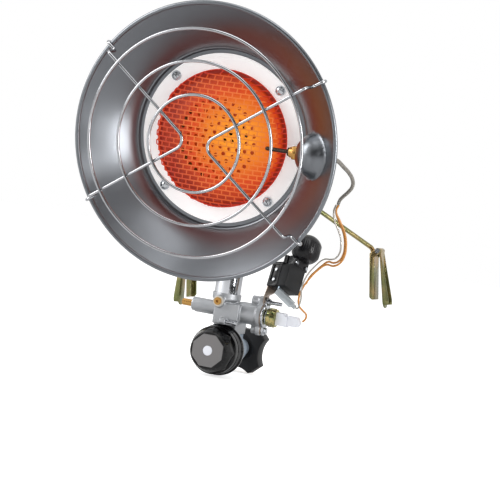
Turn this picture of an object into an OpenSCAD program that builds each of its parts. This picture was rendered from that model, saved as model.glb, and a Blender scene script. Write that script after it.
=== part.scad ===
// Infrared gas heater head that screws onto the outlet of an upright gas bottle.
// Origin: on the outlet's axis, where its thread begins at the back of the hand wheel.
// The heater looks along -Y, +Z is up and +X is to the viewer's right.

/* [Reflector dish] */
// Outer radius of the dish over its rolled rim
dish_r = 133; // [124:1:142]
// Radius of the rolled bead's section
bead_r = 2.2; // [1.8:0.1:2.6]
// Depth of the bowl's wall behind the rim
bowl_depth = 46; // [42:1:50]
// Radius of the bowl at the foot of its wall
foot_r = 88; // [86:1:92]
// Thickness of the spun sheet
dish_t = 1; // [0.8:0.1:1.4]
// Depth of the burner's seat behind the foot of the wall
seat_drop = 3.5; // [3:0.1:5]
// Width of the step between the wall's foot and the seat
seat_step = 2; // [1:0.5:3]
// How far the dish looks down, in degrees
dish_tilt = 7.4; // [0:0.1:12]
// Distance from the elbow's corner to the plane of the rim
rim_reach = 135; // [125:1:145]

/* [Pressed boss] */
// Radius of the ball-shaped boss that carries the thermocouple
boss_r = 22; // [18:0.5:24]
// Place of the boss's centre, as a share of the dish's radius
boss_out_share = 0.79; // [0.77:0.005:0.81]
// Depth of the boss's centre behind the rim
boss_deep = 28; // [25:1:30]
// How far the boss's flat face stands inside its centre
boss_flat = 19; // [16:0.5:20]

/* [Burner] */
// Radius of the bright burner plate
plate_r = 82; // [78:0.5:84]
// Thickness of the burner plate
plate_t = 1.2; // [1:0.1:2]
// Radius of the circle of plate screws
plate_screw_circle = 76; // [74:0.5:77]
// Radius of a plate screw's head
plate_screw_head_r = 4; // [3:0.1:4.5]
// Radius of the glowing screen at its foot
screen_r = 66.5; // [62:0.5:68]
// Radius of the screen's flat front
screen_front_r = 58.5; // [54:0.5:60]
// How far the screen stands out of the burner plate
screen_rise = 19; // [14:0.5:22]
// Length of one opening of the screen
mesh_long = 8.4; // [7:0.1:9]
// Height of one opening of the screen
mesh_high = 5.4; // [4:0.1:6]
// Width of the screen's wires
mesh_wire = 2; // [1.5:0.1:2.5]
// Gap between the screen and the perforated radiant behind it
radiant_gap = 7; // [5:0.5:9]
// Radius of the radiant's round holes
radiant_hole_r = 2; // [1.5:0.1:2.5]
// Distance between the rings of radiant holes
radiant_pitch = 7.5; // [7:0.5:10]
// Depth of the pan behind the burner plate
pan_depth = 34; // [30:1:38]
// Radius of the pan's drum
pan_r = 65; // [60:1:68]

/* [Burner tube] */
// Outer radius of the mixing tube
tube_r = 13.2; // [11:0.1:14]
// Wall of the mixing tube
tube_wall = 1.2; // [1:0.1:2]
// Distance of the tube's upright axis in front of the tank face
tube_front = 82; // [78:1:90]
// Height of the elbow's corner above the outlet axis
elbow_up = 221; // [210:1:230]
// Radius of the elbow's centre line
elbow_r = 34; // [28:1:36]
// Radius of the air holes
air_hole_r = 5; // [3:0.5:6]
// Height of the air holes above the outlet axis
air_hole_up = 92; // [85:1:100]

/* [Wire guard] */
// Radius of the guard's wire
guard_wire_r = 1.5; // [1.2:0.1:1.8]
// Radius of the outer ring, as a share of the dish's radius
guard_outer_share = 0.805; // [0.77:0.005:0.83]
// Radius of the middle ring, as a share of the dish's radius
guard_middle_share = 0.579; // [0.54:0.001:0.62]
// Radius of the inner ring, as a share of the dish's radius
guard_inner_share = 0.343; // [0.31:0.001:0.38]
// Height of the rings in front of the rim
guard_rise = 25.4; // [20:0.2:32]
// Where the spokes drop to the rim, as a share of the way from the outer ring to the rim
guard_drop_share = 0.63; // [0.5:0.01:0.7]
// Half of the angle between the two legs of a spoke, at the rim
guard_half_spread = 35; // [30:1:40]
// Distance of the spokes' bent tips from the axis
guard_tip = 12; // [8:1:18]
// Radius of the bend at a spoke's tip
guard_tip_bend = 10; // [7:0.5:12]
// How far the guard is turned clockwise in the dish, in degrees
guard_turn = 2; // [0:1:6]

/* [Thermocouple] */
// Radius of the sensing tip
probe_r = 2; // [1.6:0.1:2.4]
// Length of the sensing tip inside the boss's centre
probe_len = 52; // [48:1:54]
// Radius of the threaded shank through the boss
probe_shank_r = 4; // [3:0.1:4.4]
// Radius of the brass nut over its corners
probe_nut_r = 7.2; // [6:0.1:7.6]
// Thickness of the brass nut
probe_nut_t = 5; // [4:0.1:6]
// Radius of the sheathed lead
lead_r = 2.2; // [1.8:0.1:3]
// Radius of the insulated wires
wire_r = 1; // [0.8:0.1:1.2]

/* [Gas valve] */
// Height of the valve's cross axis above the outlet axis
valve_up = 41.5; // [41:0.5:46]
// Radius of the push stem's guide
guide_r = 7; // [6:0.1:8]
// Distance of the guide's end left of the tube's axis
guide_end = 34.5; // [32:0.5:38]
// Radius of the push stem
stem_r = 3.5; // [2.5:0.1:4]
// How far the push stem stands out when it is released
stem_out = 11.5; // [9:0.5:13]
// How far the push stem travels
stem_travel = 6; // [4:0.5:7]
// Running clearance round the push stem
stem_clearance = 0.05; // [0.02:0.01:0.1]
// Radius of the magnet housing
magnet_r = 10.8; // [9:0.1:12]
// Distance of the housing's flange face right of the tube's axis
flange_face = 41; // [39:0.5:44]
// Thickness of the cast flange
flange_t = 5; // [4:0.5:6]
// Distance of a flange screw from the cross axis
flange_screw_off = 14.5; // [14:0.5:16]
// Radius of the flange screws
flange_screw_r = 1.9; // [1.5:0.1:2.2]
// Thickness of the cover plate over the flange
cover_t = 2.5; // [2:0.1:3.5]
// Radius of the magnet nut over its corners
magnet_nut_r = 9.6; // [8:0.1:10]
// Thickness of the magnet nut
magnet_nut_t = 9.5; // [7:0.5:11]
// Radius of the brass test plug
plug_r = 3.8; // [3:0.1:4.2]
// Radius of the pale ring under the test plug
plug_ring_r = 5.3; // [4.6:0.1:6]
// Height of the test plug above the cross axis
plug_up = 8; // [7:0.5:9]
// Height of the tube's socket above the push stem's guide
socket_rise = 9.5; // [8:0.5:12]
// Depth of the tube in its socket
tube_hold = 7.5; // [6:0.5:9]
// Length of the connector's socket
socket_len = 12; // [10:0.5:14]
// Width of the connector
connector_w = 10; // [8:0.5:12]
// Height of the connector
connector_high = 13; // [11:0.5:14]
// Radius of the vent screw under the block
vent_screw_r = 2.4; // [2:0.1:2.8]
// Length of the vent screw
vent_len = 12; // [9:0.5:14]

/* [Regulator] */
// Distance of the knob's back edge in front of the tank face
knob_back = 78; // [74:1:84]
// Length of the knob
knob_len = 36; // [30:1:40]
// Radius of the knob's skirt
knob_r = 26; // [22:0.5:28]
// Radius of the knob's front
knob_front_r = 18; // [16:0.5:20]
// Thickness of the grey face plate on the knob
knob_face_t = 0.8; // [0.5:0.1:1.2]
// Radius of the regulator's casting
regulator_r = 16; // [15:0.5:18]
// Radius of the adjusting stem
adjuster_r = 4; // [3:0.1:5]
// Radius of the inlet boss
inlet_r = 9.8; // [9:0.1:12]
// Radius of the neck between the regulator and the valve
neck_r = 12; // [10:0.5:13]
// Distance of the neck's axis in front of the tank face
neck_front = 46; // [44:1:50]

/* [Hand wheel and outlet nut] */
// Radius of the hand wheel's lobes
wheel_r = 28; // [25:0.5:32]
// Thickness of the hand wheel
wheel_t = 16; // [14:0.5:20]
// Depth of the hollows between the lobes
wheel_hollow = 4.1; // [3:0.1:5]
// How far the hand wheel is turned as photographed, in degrees
wheel_turn_rest = 41; // [0:1:89]
// Radius of the left-hand outlet thread
outlet_r = 11.24; // [11:0.01:11.5]
// Length of the outlet thread
outlet_len = 20; // [18:0.5:24]
// Radius of the outlet nut inside the hand wheel
grip_r = 9.5; // [9:0.1:10]
// Radius of the gas tailpiece inside the nut
tail_r = 6.4; // [5.5:0.1:7]
// Running clearance of the nut on the tailpiece
tail_clearance = 0.08; // [0.03:0.01:0.1]
// Radius of the tailpiece's rounded nose
nose_r = 8.4; // [7.8:0.1:9]

/* [Tip-over switch] */
// Width of the switch housing
switch_w = 13; // [11:0.5:15]
// Width of the snap switch beside the housing
snap_w = 10; // [8:0.5:11]
// Depth of the switch from front to back
switch_d = 25; // [22:0.5:28]
// Height of the switch housing
switch_h = 26; // [24:0.5:29]
// Radius of the ball housing
ball_r = 14; // [12:0.5:15]
// Height of the ball housing's centre above the switch's foot
ball_up = 45; // [44:0.5:48]
// Thickness of the steel bracket
bracket_t = 1.2; // [1:0.1:2]

/* [Bottle support] */
// Radius of the support wire
support_wire_r = 2.4; // [2:0.1:2.8]
// How far the support is turned to stay level, in degrees
support_turn_rest = 9; // [0:1:15]
// Height of the support's pivot above the outlet axis
support_up = 178; // [170:0.5:180]
// Sideways reach of each arm
arm_out = 100; // [95:1:110]
// How far the arms run back from the pivot
arm_back = 96; // [85:1:105]
// How far the arms drop from the pivot
arm_drop = 72; // [60:1:80]
// Width of the clip's jaws
jaw_w = 15; // [12:0.5:18]
// Length of the inner jaw
inner_jaw_len = 46.5; // [40:0.5:50]
// Length of the outer jaw below its pin
jaw_len = 59.5; // [50:0.5:64]
// Depth of the inner jaw's folded sides
jaw_deep = 5; // [4:0.5:6]
// Depth of the outer jaw at its foot
jaw_foot_deep = 6.5; // [5:0.5:8]
// Opening between the two jaws for the bottle's collar
jaw_gap = 5; // [4.4:0.1:6]
// Sheet thickness of the jaws
jaw_t = 1.4; // [1:0.1:1.8]
// Radius of a jaw's pin
pin_r = 1.6; // [1.3:0.1:2]
// How far the outer jaw leans out, in degrees
jaw_lean = 4; // [0:1:8]
// Height of the band clamp on the tube
clamp_high = 14; // [11:1:16]
// Thickness of the band clamp
clamp_t = 1.6; // [1:0.1:2]
// Radius of the support's screw
support_screw_r = 3; // [2.5:0.1:3.5]

/* [Hidden] */
$fn = 96;
// Facets round a wire and round small parts
wire_fn = 24;
small_fn = 48;
// Straight parts of a bent bar reach a little into its bends and are a touch thinner
lap = 0.1;
lap_skin = 0.02;
// Overrun of every cut
over = 1;
// Clearance between pieces that lie on each other
seat_gap = 0.05;
// Clearance between pieces that move past each other
run_gap = 0.3;
// Clearance between pieces turned to fit tightly
tight_gap = 0.01;

// Places in the dish, measured along its axis: z is in front of the rim
mouth_r = dish_r - 2 * bead_r;
bead_at = dish_r - bead_r;
seat_z = -(bowl_depth + seat_drop);
plate_z = seat_z + seat_gap;
plate_front_z = plate_z + plate_t;
pan_z = seat_z - dish_t - seat_gap;
sheet_t = (dish_t - 2 * seat_gap) / 2;
screen_front_z = plate_front_z + screen_rise;
screen_hole_r = screen_r + seat_gap + sheet_t;
lip_w = 3.5;
seat_hole_r = screen_hole_r + lip_w + run_gap;
plate_screw_r = 1.5;
screw_hole_r = 1.6;
boss_out = dish_r * boss_out_share;
probe_end = boss_out - probe_len;
probe_z = -(boss_deep - probe_r);
pan_back = plate_z - pan_depth;
pan_neck_len = 14;
wall_curve = 1.25;
wall_steps = 12;

function wall_r(share) = foot_r + (mouth_r - foot_r) * pow(1 - share, wall_curve);

// Radii of the guard
guard_outer_r = dish_r * guard_outer_share;
guard_middle_r = dish_r * guard_middle_share;
guard_inner_r = dish_r * guard_inner_share;
guard_drop_r = guard_outer_r + (bead_at - guard_outer_r) * guard_drop_share;

// Places on the valve
cast_wall = 1.3;
block_x = tube_r + cast_wall;
block_front = tube_front + block_x;
block_back = tube_front - block_x;
block_top = valve_up + guide_r + socket_rise;
tube_seat = block_top - tube_hold;
free_gap = 1;
foot_z = regulator_r + free_gap;
foot_top = valve_up - guide_r - cast_wall;
block_low = knob_r + free_gap;
bonnet_front = knob_back - 2 * free_gap;
knob_front_y = knob_back + knob_len;
tail_from = 34;
wheel_gap = 0.4;
stem_hold = 13.5;
upper_lug_len = 8;
screw_tail = 14;
plug_boss_len = 2.7;
plug_shank_len = 2.5;
vent_x = 9;
vent_lug = 6;
vent_front = block_front + vent_screw_r + cast_wall * 0.5;
vent_up = block_low + vent_screw_r + cast_wall;
regulator_back = 10;
adjuster_hold = 14;
plate_stack = flange_face + seat_gap + bracket_t;
cover_face = plate_stack + seat_gap + cover_t;
cover_hub = 1.5;
socket_from = cover_face + cover_hub + magnet_nut_t + 2 * seat_gap;

// Places of the tip-over switch
switch_at = [63, -96, 76.5];
switch_turn = [-22, -9, -20];
spade_at = [58.5, -91.8, 67.6];
flange_w_share = 1.3;
rivet_r = 1.5;

// Places of the support, measured from its pivot
clamp_pad = 2.8;
arm_bend = 7;
eye_r = support_wire_r + support_screw_r + seat_gap;
pad_back = tube_front - tube_r - clamp_pad;
pivot_y = -(pad_back - support_wire_r - seat_gap);
barrel_r = pin_r + jaw_t;
web_x = arm_out + support_wire_r + seat_gap + jaw_t;
pin_out = web_x + jaw_gap + jaw_t - barrel_r;
web_top = arm_drop + 2 * support_wire_r + 2 * seat_gap + jaw_t;
pin_drop = web_top - barrel_r - free_gap;
ear_y = jaw_w / 2 + run_gap;

// Points of the leads, chosen along the photographed route
lead_points = [
    [101, -190, 207], [104, -190, 207], [110, -184, 207], [115, -176, 207], [119, -170, 206],
    [124, -162, 201], [128, -154, 196], [130, -146, 190], [129, -140, 184],
    [124, -134, 178], [118, -128, 173], [114, -124, 169], [112, -121, 165]
];
terminal_points = [
    [112, -120, 164], [110, -118, 158], [113, -115, 149], [118, -112, 140],
    [121, -111, 132], [122, -110, 125], [121, -107, 117], [117, -104, 110],
    [111, -101, 107], [104, -97, 107], [97, -92, 102], [89, -85, 95],
    [81, -75, 88], [75, -65, 80]
];
connector_points = [
    [113, -122, 164], [111, -121, 158], [115, -117, 149], [120, -114, 140],
    [123, -113, 132], [124, -112, 125], [123, -109, 116], [119, -107, 108],
    [112, -104, 104], [104, -101, 104], [97, -99, 99], [88, -97, 88],
    [81, -94, 76], [78, -91, 67], [79, -88, 58], [83, -86, 54], [86, -84, 51],
    [86, -83, 47], [83, -82, 43]
];
spade_points = [
    [110, -121, 164], [108, -119, 157], [110, -117, 148], [115, -114, 138],
    [118, -113, 131], [119, -113, 125], [118, -110, 118], [114, -108, 112],
    [109, -106, 110], [102, -105, 109], [94, -105, 101], [86, -103, 89],
    [82, -99, 76], [82, -96, 66], [81, -95, 60], [79, -93, 56], [77, -92, 56]
];

function unit(v) = v / norm(v);
function turn_of(x, y, z) = abs(x[2]) > 0.9999
    ? [atan2(-sign(x[2]) * y[0], y[1]), -90 * sign(x[2]), 0]
    : [atan2(y[2], z[2]), -asin(x[2]), atan2(x[1], x[0])];
function turned(v, a) =
    let (p = [v[0], v[1] * cos(a[0]) - v[2] * sin(a[0]), v[1] * sin(a[0]) + v[2] * cos(a[0])],
        q = [p[0] * cos(a[1]) + p[2] * sin(a[1]), p[1], -p[0] * sin(a[1]) + p[2] * cos(a[1])])
    [q[0] * cos(a[2]) - q[1] * sin(a[2]), q[0] * sin(a[2]) + q[1] * cos(a[2]), q[2]];
function heading(d) = [0, acos(d[2]), atan2(d[1], d[0])];
function bend_trim(a, b, bend) = bend * tan(acos(max(-1, min(1, a * b))) / 2);

// A round bar along a list of corners; bends holds the radius of each inner corner
module bar_run(points, bends, r, ends = 0) {
    last = len(points) - 1;
    dirs = [for (i = [0 : last - 1]) unit(points[i + 1] - points[i])];
    trims = [for (i = [0 : last])
        i == 0 || i == last ? -ends : bend_trim(dirs[i - 1], dirs[i], bends[i - 1])];
    for (i = [0 : last - 1]) {
        from = trims[i] - (i == 0 ? 0 : lap);
        upto = trims[i + 1] - (i == last - 1 ? 0 : lap);
        translate(points[i] + dirs[i] * from)
            rotate(heading(dirs[i]))
            cylinder(r = r - lap_skin, h = norm(points[i + 1] - points[i]) - from - upto);
    }
    for (i = [1 : 1 : last - 1]) {
        a = dirs[i - 1];
        b = dirs[i];
        inward = unit(b - (a * b) * a);
        translate(points[i] - a * trims[i] + inward * bends[i - 1])
            rotate(turn_of(-inward, a, cross(-inward, a)))
            rotate_extrude(angle = acos(a * b))
            translate([bends[i - 1], 0])
            circle(r = r);
    }
}

// A cord swept along its points, thinner towards its far end when r_end says so
cord_ref = unit([1, 3, 1]);
function cord_mid(p, i) = let (last = len(p) - 1, a = p[max(0, i - 1)], d = p[min(last, i + 2)])
    (p[i] + p[i + 1]) * 9 / 16 - (a + d) / 16;
function cord_line(p) = [for (i = [0 : len(p) - 1]) each (i < len(p) - 1 ? [p[i], cord_mid(p, i)] : [p[i]])];
module cord(p, r, sides = 8, r_end = 0) {
    n = len(p);
    rings = [for (i = [0 : n - 1])
        let (t = unit(p[min(n - 1, i + 1)] - p[max(0, i - 1)]), u = unit(cross(t, cord_ref)), v = cross(t, u),
            q = r_end > 0 ? r + (r_end - r) * i / (n - 1) : r)
        for (k = [0 : sides - 1]) p[i] + q * (u * cos(360 * k / sides) + v * sin(360 * k / sides))];
    faces = [
        [for (k = [0 : sides - 1]) k],
        [for (k = [sides - 1 : -1 : 0]) (n - 1) * sides + k],
        for (i = [0 : n - 2]) for (k = [0 : sides - 1]) let (m = (k + 1) % sides)
            each [[i * sides + k, (i + 1) * sides + k, (i + 1) * sides + m],
                [i * sides + k, (i + 1) * sides + m, i * sides + m]]
    ];
    polyhedron(points = rings, faces = faces, convexity = 10);
}

module in_dish() {
    translate([0, -tube_front, elbow_up])
        rotate([90 + dish_tilt, 0, 0])
        translate([0, 0, rim_reach])
        children();
}
module along_y(r, from, to) {
    translate([0, from, 0]) rotate([-90, 0, 0]) cylinder(r = r, h = to - from);
}
module along_x(r, from, to) {
    translate([from, 0, 0]) rotate([0, 90, 0]) cylinder(r = r, h = to - from);
}
module at_valve() {
    translate([0, -tube_front, valve_up]) children();
}
module at_switch() {
    translate(switch_at) rotate(switch_turn) children();
}
module at_support() {
    translate([0, pivot_y, support_up]) rotate([0, -support_turn_rest, 0]) children();
}
module four_ways(r) {
    for (a = [45 : 90 : 315]) rotate(a) translate([r, 0, 0]) children();
}

module bowl_wall() {
    inside = [for (i = [0 : wall_steps])
        let (share = i / wall_steps) [wall_r(share), -bowl_depth * share]];
    outside = [for (i = [wall_steps : -1 : 0])
        let (share = i / wall_steps) [wall_r(share) + dish_t * 1.3, -bowl_depth * share]];
    rotate_extrude() polygon(concat(
        inside,
        [[foot_r - seat_step, seat_z], [seat_hole_r, seat_z], [seat_hole_r, seat_z - dish_t],
            [foot_r - seat_step + dish_t, seat_z - dish_t]],
        outside));
}
module bowl_space() {
    rotate_extrude() polygon(concat(
        [[0, 0]],
        [for (i = [0 : wall_steps]) let (share = i / wall_steps)
            [wall_r(share) + dish_t * 0.65, -bowl_depth * share]],
        [[0, -bowl_depth]]));
}
module boss_ball(grow) {
    intersection() {
        translate([boss_out, 0, -boss_deep]) sphere(r = boss_r - grow);
        translate([boss_out - boss_flat + grow, -boss_r, -boss_deep - boss_r])
            cube([2 * boss_r, 2 * boss_r, 2 * boss_r]);
    }
}
module screw_holes(from) {
    four_ways(plate_screw_circle)
        translate([0, 0, from - over]) cylinder(r = screw_hole_r, h = plate_t + 2 * over, $fn = small_fn);
}
module reflector_dish() {
    color("silver") in_dish() difference() {
        union() {
            bowl_wall();
            rotate_extrude() translate([bead_at, 0]) circle(r = bead_r, $fn = small_fn);
            intersection() {
                boss_ball(0);
                bowl_space();
            }
        }
        boss_ball(dish_t);
        translate([0, 0, probe_z]) along_x(probe_shank_r + run_gap, probe_end, boss_out);
        screw_holes(seat_z - dish_t);
    }
}
module burner_plate() {
    color("gainsboro") in_dish() difference() {
        translate([0, 0, plate_z]) cylinder(r = plate_r, h = plate_t);
        translate([0, 0, plate_z - over]) cylinder(r = screen_hole_r, h = plate_t + 2 * over);
        screw_holes(plate_z);
    }
}
module plate_screw() {
    washer_t = plate_screw_head_r * 0.2;
    washer_r = plate_screw_head_r * 1.25;
    dome = plate_screw_head_r * 0.55;
    slot_w = plate_screw_head_r * 0.25;
    crown_r = plate_screw_head_r * 1.5;
    washer_z = plate_front_z + seat_gap;
    tail_z = pan_z - 3 * dish_t;
    difference() {
        union() {
            translate([0, 0, washer_z]) cylinder(r = washer_r, h = washer_t, $fn = small_fn);
            translate([0, 0, washer_z + washer_t]) intersection() {
                cylinder(r = plate_screw_head_r, h = dome, $fn = small_fn);
                translate([0, 0, dome - crown_r]) sphere(r = crown_r, $fn = small_fn);
            }
            translate([0, 0, tail_z]) cylinder(r = plate_screw_r, h = washer_z + washer_t / 2 - tail_z, $fn = small_fn);
        }
        translate([-plate_screw_head_r, -slot_w / 2, washer_z + washer_t + dome * 0.4])
            cube([2 * plate_screw_head_r, slot_w, dome]);
    }
}
module plate_screws() {
    color("silver") in_dish() four_ways(plate_screw_circle) plate_screw();
}
// A dished cup with a round shoulder, standing on a flat lip
module dished_cup(foot, front, z_lip, z_front, t) {
    shoulder = (foot - front) * 0.75;
    rotate_extrude() polygon([
        [0, z_front], [front - shoulder, z_front], [front, z_front - shoulder * 0.35],
        [foot - shoulder * 0.35, z_lip + (z_front - z_lip) * 0.45], [foot, z_lip + t],
        [foot + lip_w + t, z_lip + t], [foot + lip_w + t, z_lip], [foot - t, z_lip],
        [foot - t - shoulder * 0.35, z_lip + (z_front - z_lip) * 0.45],
        [front - t, z_front - shoulder * 0.35 - t], [front - shoulder - t * 0.5, z_front - t], [0, z_front - t]
    ]);
}
module brick_slots(r) {
    pitch_x = mesh_long + mesh_wire;
    pitch_y = mesh_high + mesh_wire;
    rows = floor(r / pitch_y);
    cols = ceil(r / pitch_x);
    for (j = [-rows : rows]) for (i = [-cols : cols]) {
        x = (i + (j % 2 == 0 ? 0 : 0.5)) * pitch_x;
        y = j * pitch_y;
        if (norm([abs(x) + mesh_long / 2, abs(y) + mesh_high / 2]) < r)
            translate([x, y]) square([mesh_long, mesh_high], center = true);
    }
}
module burner_screen() {
    z_lip = seat_z - sheet_t;
    color("orangered") in_dish() difference() {
        dished_cup(screen_r, screen_front_r, z_lip, screen_front_z, sheet_t);
        translate([0, 0, screen_front_z - over]) linear_extrude(2 * over)
            brick_slots(screen_front_r - (screen_r - screen_front_r) * 0.75 - sheet_t);
    }
}
module burner_radiant() {
    z_lip = seat_z - 2 * sheet_t - seat_gap;
    z_front = screen_front_z - radiant_gap;
    front = screen_front_r - radiant_gap;
    rings = floor((front - (screen_r - screen_front_r)) / radiant_pitch);
    color("darkorange") in_dish() difference() {
        dished_cup(screen_r - radiant_gap * 0.5, front, z_lip, z_front, sheet_t);
        translate([0, 0, z_front - over]) for (k = [1 : rings]) for (a = [0 : 60 / k : 359])
            rotate(a) translate([k * radiant_pitch, 0, 0])
            cylinder(r = radiant_hole_r, h = 2 * over, $fn = wire_fn);
    }
}
module burner_pan() {
    neck = tube_r + seat_gap + tube_wall;
    neck_end = pan_back - pan_neck_len;
    rim = plate_screw_circle + plate_screw_head_r;
    slope = pan_depth * 0.35;
    color("dimgray") in_dish() difference() {
        rotate_extrude() polygon([
            [pan_r - dish_t, pan_z], [rim, pan_z], [rim, pan_z - dish_t],
            [pan_r, pan_z - dish_t], [pan_r, pan_back + slope], [pan_r * 0.8, pan_back], [neck, pan_back],
            [neck, neck_end], [neck - tube_wall, neck_end], [neck - tube_wall, pan_back + dish_t],
            [pan_r * 0.8 - dish_t * 0.5, pan_back + dish_t], [pan_r - dish_t, pan_back + slope + dish_t * 0.5]
        ]);
        screw_holes(pan_z - dish_t);
    }
}
module tube_line(r, ends = 0) {
    forward = [0, -cos(dish_tilt), -sin(dish_tilt)];
    corner = [0, -tube_front, elbow_up];
    end = rim_reach + pan_back - pan_neck_len + 2 * free_gap;
    bar_run([[0, -tube_front, tube_seat + seat_gap], corner, corner + forward * end], [elbow_r], r, ends);
}
module mixing_tube() {
    color("silver") difference() {
        tube_line(tube_r);
        tube_line(tube_r - tube_wall, over);
        translate([0, -tube_front, air_hole_up]) for (a = [45, 135])
            rotate([0, 90, a]) translate([0, 0, -tube_r - over])
            cylinder(r = air_hole_r, h = 2 * (tube_r + over), $fn = small_fn);
    }
}
module gas_jet() {
    hex_r = tube_r * 0.45;
    jet_r = tube_r * 0.27;
    bore_r = tube_r * 0.12;
    jet_len = tube_r * 0.9;
    color("goldenrod") translate([0, -tube_front, tube_seat + seat_gap]) difference() {
        union() {
            cylinder(r = hex_r, h = jet_len * 0.4, $fn = 6);
            cylinder(r = jet_r, h = jet_len, $fn = small_fn);
        }
        translate([0, 0, -over]) cylinder(r = bore_r, h = jet_len * 0.9 + over, $fn = wire_fn);
    }
}

module guard_ring(r) {
    color("lightgray") in_dish() rotate_extrude() translate([r, guard_rise]) circle(r = guard_wire_r, $fn = wire_fn);
}
module guard_outer_ring() { guard_ring(guard_outer_r); }
module guard_middle_ring() { guard_ring(guard_middle_r); }
module guard_inner_ring() { guard_ring(guard_inner_r); }
module guard_spoke(side) {
    flat_z = guard_rise - 2 * guard_wire_r;
    hook = bead_r + guard_wire_r + seat_gap;
    tip = guard_tip - guard_tip_bend * 0.55;
    c = cos(guard_half_spread);
    n = sin(guard_half_spread);
    leg = [
        [bead_at - bead_r, -hook], [bead_at + hook, -hook], [bead_at + hook, hook],
        [guard_drop_r, hook], [guard_drop_r, flat_z]
    ];
    up = [for (p = leg) [p[0] * c, p[0] * n, p[1]]];
    down = [for (i = [4 : -1 : 0]) [leg[i][0] * c, -leg[i][0] * n, leg[i][1]]];
    small = hook - seat_gap / 2;
    color("lightgray") in_dish() rotate(side > 0 ? -guard_turn : 180 - guard_turn)
        bar_run(concat(up, [[tip, 0, flat_z]], down),
            [small, small, small, small, guard_tip_bend, small, small, small, small],
            guard_wire_r, $fn = wire_fn);
}
module guard_left_spoke() { guard_spoke(-1); }
module guard_right_spoke() { guard_spoke(1); }

module thermocouple() {
    seat = boss_out - boss_flat;
    color("dimgray") in_dish() translate([0, 0, probe_z]) {
        along_x(probe_r, probe_end + probe_r, seat, $fn = small_fn);
        translate([probe_end + probe_r, 0, 0]) sphere(r = probe_r, $fn = small_fn);
        along_x(probe_shank_r, seat - 2 * probe_nut_t, boss_out - probe_nut_t, $fn = small_fn);
    }
}
module thermocouple_nut() {
    collar = probe_nut_t * 0.6;
    color("goldenrod") in_dish() translate([boss_out - boss_flat - seat_gap, 0, probe_z]) difference() {
        union() {
            translate([-probe_nut_t, 0, 0]) rotate([0, 90, 0]) cylinder(r = probe_nut_r, h = probe_nut_t, $fn = 6);
            along_x(probe_nut_r * 0.72, -probe_nut_t - collar, 0, $fn = small_fn);
        }
        along_x(probe_shank_r + seat_gap, -probe_nut_t - collar - over, over, $fn = small_fn);
    }
}
module thermocouple_lead() { color("gray") cord(cord_line(lead_points), lead_r, 10, lead_r * 0.75); }
module terminal_wire() { color("orange") cord(cord_line(terminal_points), wire_r); }
module connector_wire() { color("orange") cord(cord_line(connector_points), wire_r); }
module spade_wire() { color("lightblue") cord(cord_line(spade_points), wire_r * 0.8); }

lug_w = 5 * flange_screw_r + cast_wall;
plate_w = 5 * flange_screw_r;
hole_r = flange_screw_r + 2 * seat_gap;
module flange_plate(from, t, r, w) {
    translate([from, 0, 0]) rotate([0, 90, 0]) linear_extrude(t) {
        circle(r = r);
        square([2 * flange_screw_off, w], center = true);
        for (s = [-1, 1]) translate([s * flange_screw_off, 0]) circle(r = w / 2, $fn = small_fn);
    }
}
module flange_holes(from, to) {
    for (s = [-1, 1]) translate([0, 0, s * flange_screw_off])
        along_x(hole_r, from, to, $fn = small_fn);
}
module at_plug() {
    at_valve() translate([-plug_r / 2, -block_x - plug_boss_len, plug_up]) children();
}
module valve_body() {
    flange_from = flange_face - flange_t;
    upper_lug = flange_from - upper_lug_len;
    throat = magnet_r * 0.4;
    waist = block_x * 0.45;
    arm_top = valve_up + magnet_r * 0.75;
    arm_low = valve_up - magnet_r * 0.8;
    color("silver") difference() {
        union() {
            at_valve() {
                // Guide of the push stem, with the rib cast behind it
                along_x(guide_r, -guide_end, 0);
                translate([0, guide_r - cast_wall, -cast_wall * 2]) along_x(guide_r - cast_wall, -guide_end + cast_wall, 0);
                // Magnet housing that widens to its flange
                translate([throat, 0, 0]) rotate([0, 90, 0]) cylinder(r1 = magnet_r * 0.6, r2 = magnet_r, h = block_x);
                along_x(magnet_r, throat + block_x - over, flange_from + over);
                flange_plate(flange_from, flange_t, magnet_r + cast_wall, lug_w);
                translate([0, 0, flange_screw_off]) along_x(lug_w * 0.42, upper_lug, flange_from + over, $fn = small_fn);
                translate([0, 0, -flange_screw_off])
                    along_x(lug_w * 0.38, flange_from - flange_t, flange_from + over, $fn = small_fn);
            }
            at_plug() along_y(plug_ring_r + cast_wall * 0.7, 0, block_x / 2);
            // Round socket of the mixing tube
            translate([0, -tube_front, valve_up + guide_r / 2]) {
                cylinder(r1 = waist * 1.3, r2 = block_x, h = guide_r);
                translate([0, 0, guide_r]) cylinder(r = block_x, h = block_top - valve_up - guide_r * 1.5);
            }
            // Faceted block between the two side arms
            translate([0, -block_back, 0]) rotate([90, 0, 0]) linear_extrude(block_front - block_back) polygon([
                [-waist, valve_up + guide_r], [waist * 2, block_top - socket_rise], [block_x + cast_wall * 4, arm_top],
                [block_x + cast_wall * 4, arm_low], [neck_r + cast_wall, block_low], [-waist, block_low]
            ]);
            // Foot that runs back to the neck
            translate([-neck_r, -bonnet_front, foot_z])
                cube([2 * neck_r, bonnet_front - neck_front, foot_top - foot_z]);
            translate([0, -neck_front, foot_z]) cylinder(r = neck_r, h = foot_top - foot_z);
            // Lug of the vent screw
            translate([vent_x - vent_lug, -vent_front, vent_up])
                rotate([0, 90, 0]) cylinder(r = vent_screw_r + cast_wall, h = vent_lug, $fn = small_fn);
        }
        translate([0, -tube_front, tube_seat]) cylinder(r = tube_r + seat_gap, h = block_top);
        // Guide bore of the push stem
        at_valve() along_x(stem_r + stem_clearance, -guide_end - over, -guide_end + stem_hold + stem_travel + over);
        at_plug() along_y(plug_r * 0.85, -over, plug_shank_len + cast_wall / 2);
        at_valve() flange_holes(upper_lug - over, flange_face + over);
    }
}
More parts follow.
